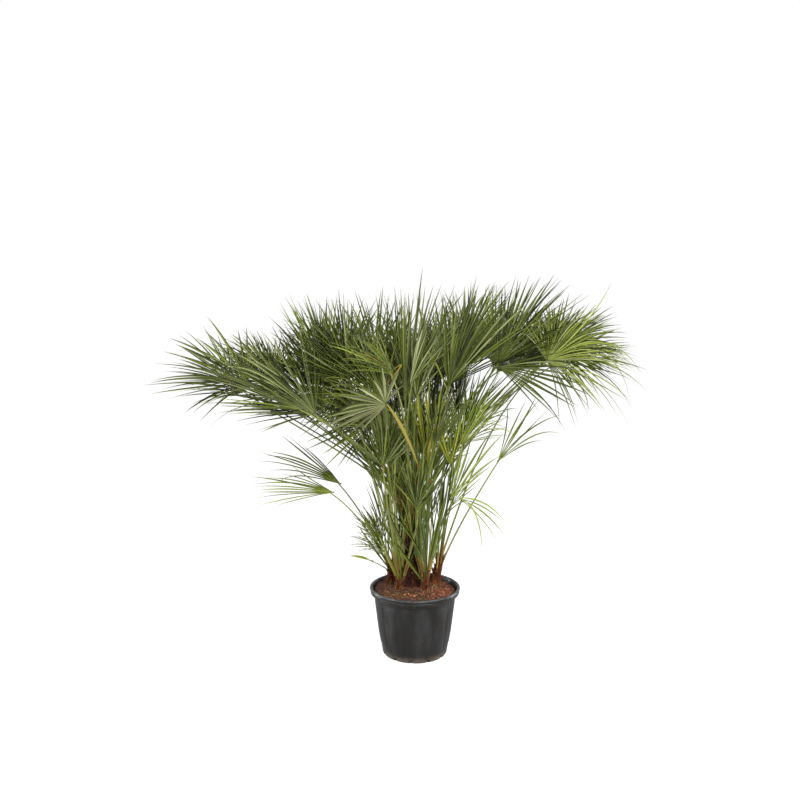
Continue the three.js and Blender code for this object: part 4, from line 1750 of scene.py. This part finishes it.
@dataclass
class Shoots:
    """Slender leaves that grow among the fronds by the fronds' own rule, with ranges for their sizes."""

    name: str
    count: int
    seed: int
    stems: tuple[str, ...]
    lean: Pair
    reach: Pair
    blade: Pair
    spread: Pair
    cuts: tuple[Cut, ...]
    tones: tuple[Tone, ...]
    foot: Pair = (0.3, 0.9)
    swerve: float = 20
    lean_share: Pair = (0.3, 1.3)
    roll: float = 60
    face_lean: float = 80
    cup: float = 0.3
    droop: float = 0.04

    def grow(self) -> list[Frond]:
        """Grows the shoots, each from a stem, and skips those that would leave the plant's space.

        Returns:
            The shoots.
        """
        dice = np.random.default_rng(self.seed)
        shoots = []
        for number in range(self.count):
            name = self.stems[number % len(self.stems)]
            stem = STEMS[name]
            turn = dice.uniform(-180, 180)
            lean = dice.uniform(*self.lean)
            foot = dice.uniform(*self.foot)
            hub = stem.axis_at(foot * stem.rise) + ray((turn, lean)) * dice.uniform(*self.reach)
            blade = dice.uniform(*self.blade)
            aim = (turn + dice.normal(0, self.swerve), lean * dice.uniform(*self.lean_share))
            spread = dice.uniform(*self.spread)
            tone = self.tones[dice.integers(len(self.tones))]
            cut = self.cuts[dice.integers(len(self.cuts))]
            face = (turn + 180 + dice.normal(0, self.roll), self.face_lean)
            fan = (blade, spread, self.cup, self.droop, tone, cut)
            shoot = Frond(FrondPlan(f"{self.name}_{number}", name, tuple(hub), aim, face, *fan))
            shoot.rooted(foot, int(dice.integers(*SWINGS)))
            tip = shoot.hub + shoot.along * blade
            if (tip > cad_box[0]).all() and (tip < cad_box[1]).all():
                shoots.append(shoot)
        return shoots


SHOOTS = (
    Shoots(
        "low_young_shoot", 44, 5, ("front", "middle", "trunk", "left", "back"),
        (2, 26), (0.10, 0.36), (0.18, 0.34), (12, 46), (Cut.THIN, Cut.YOUNG, Cut.THIN),
        (Tone.LEAF, Tone.FRESH, Tone.LEAF, Tone.MOSS, Tone.DEEP),
    ),
    Shoots(
        "young_shoot", 36, 6, ("trunk", "middle", "front", "back"),
        (3, 24), (0.34, 0.66), (0.24, 0.36), (20, 70), (Cut.YOUNG, Cut.THIN),
        (Tone.LEAF, Tone.DEEP, Tone.MOSS, Tone.FRESH, Tone.SUNLIT),
    ),
    Shoots(
        "inner", 22, 8, ("trunk", "back", "trunk", "middle"),
        (3, 24), (0.55, 0.85), (0.28, 0.38), (60, 110), (Cut.FILL,), (Tone.LEAF, Tone.DEEP, Tone.MOSS),
    ),
)


@dataclass
class Companions:
    """Older crown leaves, each close behind a frond of the table and much like it."""

    each: int = 2
    seed: int = 17
    least_blade: float = 0.27
    least_spread: float = 80
    shift: Place = (0.04, 0.03, 0.03)
    behind: Place = (0, 0.12, 0)
    ahead: Pair = (0.02, 0.12)
    swerves: Pair = (11, 6.6)
    roll: Pair = (18, 10)
    blade: Pair = (0.72, 0.9)
    spread: Pair = (0.75, 1)
    foot: Pair = (0.72, 0.98)

    def grow(self, fronds: list[Frond]) -> list[Frond]:
        """Grows them on the trunk.

        Args:
            fronds: the fronds of the table.

        Returns:
            The companions.
        """
        dice = np.random.default_rng(self.seed)
        grown = []
        for frond in fronds:
            plan = frond.plan
            if plan.blade < self.least_blade or plan.spread < self.least_spread or "young" in plan.name:
                continue
            for number in range(1 if plan.face is None else self.each):
                hub = frond.hub + self.behind + dice.normal(0, 1, 3) * self.shift
                hub = hub + frond.along * dice.uniform(*self.ahead)
                aim = tuple(plan.aim + dice.normal(0, 1, 2) * self.swerves)
                face = plan.face and tuple(plan.face + dice.normal(0, 1, 2) * self.roll)
                blade = plan.blade * dice.uniform(*self.blade)
                spread = plan.spread * dice.uniform(*self.spread)
                kin = kindred(plan.tone)
                fan = (blade, spread, plan.cup, plan.droop, kin[dice.integers(len(kin))], Cut.FILL)
                near = FrondPlan(f"{plan.name}_companion_{number}", "trunk", tuple(hub), aim, face, *fan)
                grown.append(Frond(near).rooted(dice.uniform(*self.foot), int(dice.integers(*SWINGS))))
        return grown


ACCENTS = numbered(
    "accent",
    ("trunk", (-0.025, -0.3, 1.26), (0, 27), (-110, 70), 0.27, 46, 0.2, 0.03, Tone.MOSS, Cut.WIDE),
    ("trunk", (0.0, -0.26, 1.2), (0, 12), (-110, 80), 0.3, 60, 0.3, 0.03, Tone.MOSS, Cut.YOUNG),
    ("trunk", (-0.1, -0.33, 1.315), (180, 46), (-80, 50), 0.27, 70, 0.3, 0.16, Tone.LEAF, Cut.THIN),
    ("trunk", (-0.13, -0.14, 1.17), (180, 42), (-80, 52), 0.33, 126, 0.3, 0.03),
    ("trunk", (-0.15, -0.06, 1.2), (180, 20), (-75, 60), 0.34, 110, 0.3, 0.03),
    ("trunk", (-0.4, -0.12, 1.14), (180, 52), (-72, 40), 0.42, 124, 0.3, 0.03, Tone.DEEP),
    ("trunk", (-0.165, -0.04, 1.05), (180, 42), (-80, 52), 0.33, 120, 0.3, 0.03),
    ("trunk", (-0.22, 0.0, 1.11), (180, 64), (-80, 44), 0.3, 130, 0.3, 0.04),
    ("left", (-0.15, -0.02, 0.46), (180, 24), (-85, 62), 0.2, 80, 0.3, 0.05, Tone.BRIGHT, Cut.PLUME),
    ("left", (-0.165, 0.01, 0.53), (178, 36), (-85, 60), 0.18, 80, 0.3, 0.06, Tone.LEAF, Cut.PLUME),
    ("right", (0.2, -0.1, 0.98), (0, 34), (-105, 62), 0.3, 90, 0.3, 0.06, Tone.BRIGHT, Cut.PLUME),
)


@dataclass(frozen=True)
class Stray:
    """A single dry or bent leaflet: three places on it, from its foot, its width, tone and shade."""

    foot: Place
    middle: Place
    tip: Place
    width: float
    tone: Tone
    shade: int = 2


STRAYS = [Stray(*row) for row in (
    ((0.015, -0.06, 1.24), (0.047, -0.14, 1.385), (0.155, -0.2, 1.16), 0.014, Tone.SUNLIT),
    ((-0.12, -0.4, 1.188), (-0.05, -0.45, 1.08), (0.01, -0.46, 0.93), 0.016, Tone.STRAW, 3),
    ((-0.097, -0.15, 1.288), (-0.2, -0.22, 1.37), (-0.3, -0.26, 1.37), 0.007, Tone.STRAW),
    ((-0.1, -0.33, 1.316), (-0.065, -0.35, 1.335), (-0.13, -0.37, 1.255), 0.007, Tone.STRAW),
    ((0.06, -0.07, 0.865), (0.01, -0.2, 1.17), (0.005, -0.22, 1.41), 0.016, Tone.SUNLIT),
    ((0.06, -0.07, 0.865), (0.05, -0.2, 1.1), (0.06, -0.2, 1.3), 0.015, Tone.SUNLIT),
    ((0.15, -0.12, 0.895), (0.1, -0.18, 1.12), (0.115, -0.2, 1.245), 0.014, Tone.SUNLIT),
    ((0.15, -0.12, 0.895), (0.09, -0.18, 1.03), (0.03, -0.18, 1.17), 0.015, Tone.SUNLIT, 1),
    ((0.06, -0.07, 0.865), (0.06, -0.2, 1.0), (0.1, -0.2, 1.14), 0.012, Tone.SUNLIT, 3),
    ((0.036, -0.038, 0.345), (-0.06, -0.11, 0.5), (-0.205, -0.15, 0.73), 0.018, Tone.LEAF, 1),
    ((-0.068, -0.03, 0.34), (-0.12, -0.1, 0.48), (-0.17, -0.14, 0.615), 0.014, Tone.LEAF),
    ((0.042, -0.036, 0.345), (0.04, -0.12, 0.52), (0, -0.16, 0.695), 0.014, Tone.MOSS, 1),
    ((-0.02, -0.008, 0.46), (-0.1, -0.13, 0.635), (-0.145, -0.15, 0.78), 0.016, Tone.MOSS, 1),
    ((0.05, -0.03, 0.36), (0.09, -0.1, 0.6), (0.135, -0.12, 0.77), 0.01, Tone.FRESH, 1),
    ((-0.11, 0.055, 0.36), (-0.18, -0.02, 0.53), (-0.24, -0.06, 0.68), 0.01, Tone.BRIGHT, 1),
    ((-0.11, 0.055, 0.36), (-0.195, -0.04, 0.51), (-0.26, -0.08, 0.625), 0.011, Tone.LEAF),
    ((-0.1, 0.06, 0.35), (-0.155, 0, 0.54), (-0.21, -0.03, 0.695), 0.01, Tone.LEAF, 1),
    ((-0.064, -0.034, 0.345), (-0.075, -0.11, 0.5), (-0.12, -0.15, 0.66), 0.013, Tone.BRIGHT, 1),
    ((0.565, -0.12, 1.347), (0.74, -0.09, 1.52), (0.85, -0.04, 1.68), 0.007, Tone.FRESH, 3),
    ((0.565, -0.12, 1.342), (0.69, -0.17, 1.25), (0.73, -0.18, 1.125), 0.007, Tone.FRESH, 1),
    ((0.565, -0.12, 1.345), (0.8, -0.12, 1.42), (0.955, -0.14, 1.3), 0.007, Tone.FRESH),
    ((0.565, -0.12, 1.345), (0.79, -0.14, 1.38), (0.91, -0.16, 1.19), 0.007, Tone.LEAF, 3),
    ((0.19, -0.135, 0.748), (0.26, -0.18, 0.68), (0.285, -0.2, 0.505), 0.008, Tone.BRIGHT, 3),
    ((0.19, -0.135, 0.75), (0.295, -0.18, 0.735), (0.38, -0.2, 0.66), 0.009, Tone.BRIGHT, 3),
    ((-0.025, -0.3, 1.262), (0, -0.27, 1.39), (0.03, -0.25, 1.495), 0.012, Tone.SILVER, 3),
)]


@dataclass
class Strays:
    """The single leaflets, built together."""

    stations: int = 12
    widths: Pairs = ((0.0, 0.3), (0.12, 0.62), (0.35, 1.0), (0.7, 0.72), (1.0, 0.06))
    thick: float = 0.0009
    fold: float = math.radians(28)

    def strip(self, stray: Stray) -> Ribbons:
        """Works out one leaflet's strip, which shows its upper side to the front.

        Args:
            stray: the leaflet.

        Returns:
            The strip.
        """
        foot, middle, tip = (np.array(place) for place in (stray.foot, stray.middle, stray.tip))
        knee = 2 * middle - (foot + tip) / 2
        handles = np.array([foot, foot + (knee - foot) * 2 / 3, tip + (knee - tip) * 2 / 3, tip])
        shares = np.linspace(0, 1, self.stations)
        half = 0.5 * stray.width * np.interp(shares, *zip(*self.widths))
        return strip_along(bezier(handles, shares), np.array((0, -1, 0.4)), half, self.fold, self.thick)

    def build(self) -> None:
        """Builds and dresses them."""
        used = sorted({stray.tone.name for stray in STRAYS})
        batch = Batch()
        for stray in STRAYS:
            first = TONE_PARTS * used.index(stray.tone.name)
            # The fifth slot paints shade on one half: the next darker upper colour.
            looks = first + np.array([[stray.shade, 4, 5, 6, max(stray.shade - 1, 0), 7]])
            self.strip(stray).add_to(batch, looks)
        finishes = [material for tone in used for material in Tone[tone].value.materials()]
        hand_over("single_leaflets", batch.mesh("single_leaflets", 28), finishes)


@dataclass
class Stems:
    """The trunk and side stems: a fibrous body with old leaf bases and loose fibres."""

    rings: int = 90
    side_rings: int = 30
    steps: int = 64
    skirt: float = 0.006
    cap: float = 0.004
    relief: float = 0.005
    roughness: tuple[Place, ...] = ((1, 6, 30), (0.4, 22, 60))
    seed: int = 23
    bases: int = 54
    side_bases: int = 22
    base_length: Pair = (0.03, 0.075)
    base_width: float = 0.0085
    base_widths: Pairs = ((0, 1.2), (0.3, 1), (0.85, 0.5), (1, 0.2))
    base_thick: float = 0.0022
    base_fork: float = 0.004
    base_lean: Pair = (0.16, 0.42)
    base_from: float = 0.03
    base_reach: float = 0.9
    base_stray: float = 0.2
    base_sunk: float = 0.003
    base_spread: Pair = (0.8, 1.3)
    base_fold: float = -0.5
    fibres: int = 700
    side_fibres: int = 220
    fibre_rise: Pair = (0.012, 0.05)
    fibre_lift: Pair = (0.0005, 0.005)
    fibre_radius: Pair = (0.0004, 0.0009)
    fibre_taper: float = 0.4
    fibre_top: float = 0.9
    fibre_twist: float = 0.9

    def body(self, name: str, stem: StemPlan, material: Material) -> None:
        """Makes a stem's body, ridged by its old leaf bases.

        Args:
            name: the frame's node, which it replaces.
            stem: the stem.
            material: its bark.
        """
        heights = np.linspace(0, stem.rise, self.rings if name == "trunk" else self.side_rings)
        outline = [(0.0, -self.skirt), (stem.foot_radius, -self.skirt)]
        outline += [(stem.radius_at(float(h)), float(h)) for h in heights]
        outline.append((0.0, stem.rise + self.cap))
        shape = turned(outline, self.steps)
        for vert in shape.verts:
            radius, height = math.hypot(vert.co.x, vert.co.y), vert.co.z
            if radius > 1e-4:
                way = level_way(math.atan2(vert.co.y, vert.co.x)) + (0, 0, height)
                lumps = (size * noise.noise(way * (wide, wide, up)) for size, wide, up in self.roughness)
                rough = sum(lumps)
                vert.co.x *= 1 + self.relief * rough / radius
                vert.co.y *= 1 + self.relief * rough / radius
            vert.co = Vector(stem.axis_at(height)) + Vector((vert.co.x, vert.co.y, 0))
            if height < 0:
                vert.co.z = Soil.top + CLEAR + height
        hand_over(f"{name}_fibre", to_mesh(shape, f"{name}_fibre", 60), [material], [name])

    def leaf_bases(self, batch: Batch, stem: StemPlan, count: int, dice: Chance) -> None:
        """Sets the torn bases of old leaves round a stem, in the spiral that its leaves follow.

        Args:
            batch: where they go.
            stem: the stem.
            count: how many it has.
            dice: the source of chance.
        """
        shares = np.linspace(0, 1, 7)
        rise = shares[:, None]
        widths = np.interp(shares, *zip(*self.base_widths))
        size = min(1.0, stem.radius / STEMS["trunk"].radius + 0.3)
        for number in range(count):
            height = stem.rise * (self.base_from + self.base_reach * (number + dice.uniform(0, 0.7)) / count)
            turn = number * GOLDEN_ANGLE + dice.normal(0, self.base_stray)
            out = level_way(turn)
            length = dice.uniform(*self.base_length) * size
            lean = dice.uniform(*self.base_lean)
            foot = stem.axis_at(height) + out * (stem.radius_at(height) - self.base_sunk)
            path = foot + length * rise * (UPWARDS + out * lean * (0.4 + 0.6 * rise))
            half = self.base_width * size * dice.uniform(*self.base_spread) * widths
            look = int(dice.integers(4))
            looks = np.array([[look, look, (look + 1) % 4, 4, (look + 3) % 4, look]])
            thick, fork = self.base_thick * size, self.base_fork * size
            strip_along(path, out, half, self.base_fold, thick, fork).add_to(batch, looks)

    def loose_fibres(self, batch: Batch, stem: StemPlan, count: int, dice: Chance) -> None:
        """Wraps a stem in fine crossing fibres.

        Args:
            batch: where they go.
            stem: the stem.
            count: how many it has.
            dice: the source of chance.
        """
        rod = Rod(3, 5)
        for _ in range(count):
            low = stem.rise * dice.uniform(0, self.fibre_top)
            turn, twist = dice.uniform(0, math.tau), dice.normal(0, self.fibre_twist)
            rise = dice.uniform(*self.fibre_rise)
            handles = []
            for share, off in zip(THIRDS, dice.uniform(*self.fibre_lift, 4)):
                height = low + rise * share
                reach = stem.radius_at(min(height, stem.rise)) + off
                handles.append(stem.axis_at(height) + level_way(turn + twist * share) * reach)
            radius = dice.uniform(*self.fibre_radius)
            look = int(dice.integers(4))
            rod.add_to(batch, np.array(handles), level_way(turn), radius, self.fibre_taper, look)

    def build(self) -> None:
        """Builds every stem with its leaf bases and fibres, and dresses it."""
        dark = FibreBark("trunk_bark", "1e100b", "42221a", "7c452e").material()
        warm = FibreBark("side_stem_bark", "422516", "7e4c2e", "b88250").material()
        dice = np.random.default_rng(self.seed)
        bases, fibres = Batch(), Batch()
        for key, stem in STEMS.items():
            main = key == "trunk"
            self.body(key if main else f"side_stem_{key}", stem, dark if main else warm)
            self.leaf_bases(bases, stem, self.bases if main else self.side_bases, dice)
            self.loose_fibres(fibres, stem, self.fibres if main else self.side_fibres, dice)
        browns = ("4a2a1c", "5e3824", "74482c", "3a2016", "96744a")
        barks = [FibreBark(f"leaf_base_{i}", "24130d", code, "8a5c3a") for i, code in enumerate(browns)]
        finishes = [bark.material() for bark in barks]
        hand_over("leaf_bases", bases.mesh("leaf_bases", 35), finishes)
        reds = deal("fibre", ("7c4028", "5a3220", "9a6a42", "3c2218"), 0.85, 0.15)
        hand_over("stem_fibres", fibres.mesh("stem_fibres", 60), reds)


@dataclass
class Studio:
    """The pale floor, the soft lights and the camera of the photograph."""

    photo_size: int = 800
    focal_pixels: float = 788
    eye: Place = (-0.068, -3.5, 1.52)
    pitch_down: float = 5.82
    sensor: float = 36.0
    floor_radius: float = 60.0
    floor_glow: float = 0.75
    light_above: float = 0.55
    light_below: float = 0.26
    aim: Place = (0, 0, 0.9)
    softboxes: tuple[tuple[str, Place, float, float], ...] = (
        ("key_light", (1.8, -4.2, 3.4), 2.2, 250),
        ("left_light", (-4.0, -2.2, 2.4), 1.8, 90),
        ("left_edge_light", (-3.4, 0.9, 0.5), 1.2, 75),
        ("right_edge_light", (3.2, 0.9, 0.5), 1.2, 75),
    )

    def camera(self) -> None:
        """Places the camera."""
        data = bpy.data.cameras.new("camera")
        data.sensor_width = self.sensor
        data.lens = self.sensor * self.focal_pixels / self.photo_size
        data.clip_end = 200
        camera = placed("camera", data)
        camera.location = self.eye
        camera.rotation_euler = (math.radians(90 - self.pitch_down), 0, 0)
        bpy.context.scene.camera = camera

    def floor(self) -> None:
        """Lays the white floor, which takes shadows but throws no light back up."""
        shape = bmesh.new()
        bmesh.ops.create_circle(shape, cap_ends=True, segments=96, radius=self.floor_radius)
        mesh = to_mesh(shape, "floor")
        glow = {"Emission_Color": (1, 1, 1, 1), "Emission_Strength": self.floor_glow}
        white = Shader("floor_white", (0.5, 0.5, 0.5, 1), 1, Specular_IOR_Level=0, **glow)
        mesh.materials.append(white.material)
        floor = placed("floor", mesh)
        floor.visible_diffuse = False
        floor.visible_glossy = False
        floor.visible_shadow = False

    def softbox(self, name: str, at: Place, size: float, power: float) -> None:
        """Hangs a square softbox that looks at the middle of the plant.

        Args:
            name: its name.
            at: its place.
            size: the length of its side.
            power: its power in watts.
        """
        data = bpy.data.lights.new(name, "AREA")
        data.energy = power
        data.size = size
        light = placed(name, data)
        light.location = at
        light.rotation_euler = (Vector(at) - Vector(self.aim)).to_track_quat("Z", "Y").to_euler()

    def surroundings(self) -> None:
        """Makes the white surroundings, which light the plant more from above than from below."""
        world = bpy.data.worlds.new("white_studio")
        world.use_nodes = True
        bpy.context.scene.world = world
        nodes = Nodes(world.node_tree)
        way = nodes.node("ShaderNodeTexCoord", output="Generated")
        up = nodes.node("ShaderNodeSeparateXYZ", sockets={"Vector": way}, output="Z")
        light = self.light_below + nodes.band(up, -0.3, 0.5) * (self.light_above - self.light_below)
        seen = nodes.node("ShaderNodeLightPath", output="Is Camera Ray")
        strength = light + seen * (1 - light)
        background = nodes.tree.nodes["Background"]
        background.inputs["Color"].default_value = (1, 1, 1, 1)
        nodes.tree.links.new(strength.socket, background.inputs["Strength"])

    def lights(self) -> None:
        """Sets the surroundings and hangs the softboxes."""
        self.surroundings()
        for softbox in self.softboxes:
            self.softbox(*softbox)
        bpy.context.scene.view_settings.view_transform = "Standard"

    def build(self) -> None:
        """Sets up the studio."""
        self.camera()
        self.floor()
        self.lights()


def main() -> None:
    """Builds the plant and its studio."""
    logging.basicConfig(level=logging.INFO, format="%(message)s")
    Studio().build()
    Pot().build()
    Soil().build()
    Stems().build()
    Crown().build()
    Strays().build()
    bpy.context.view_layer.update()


if __name__ == "__main__":
    main()
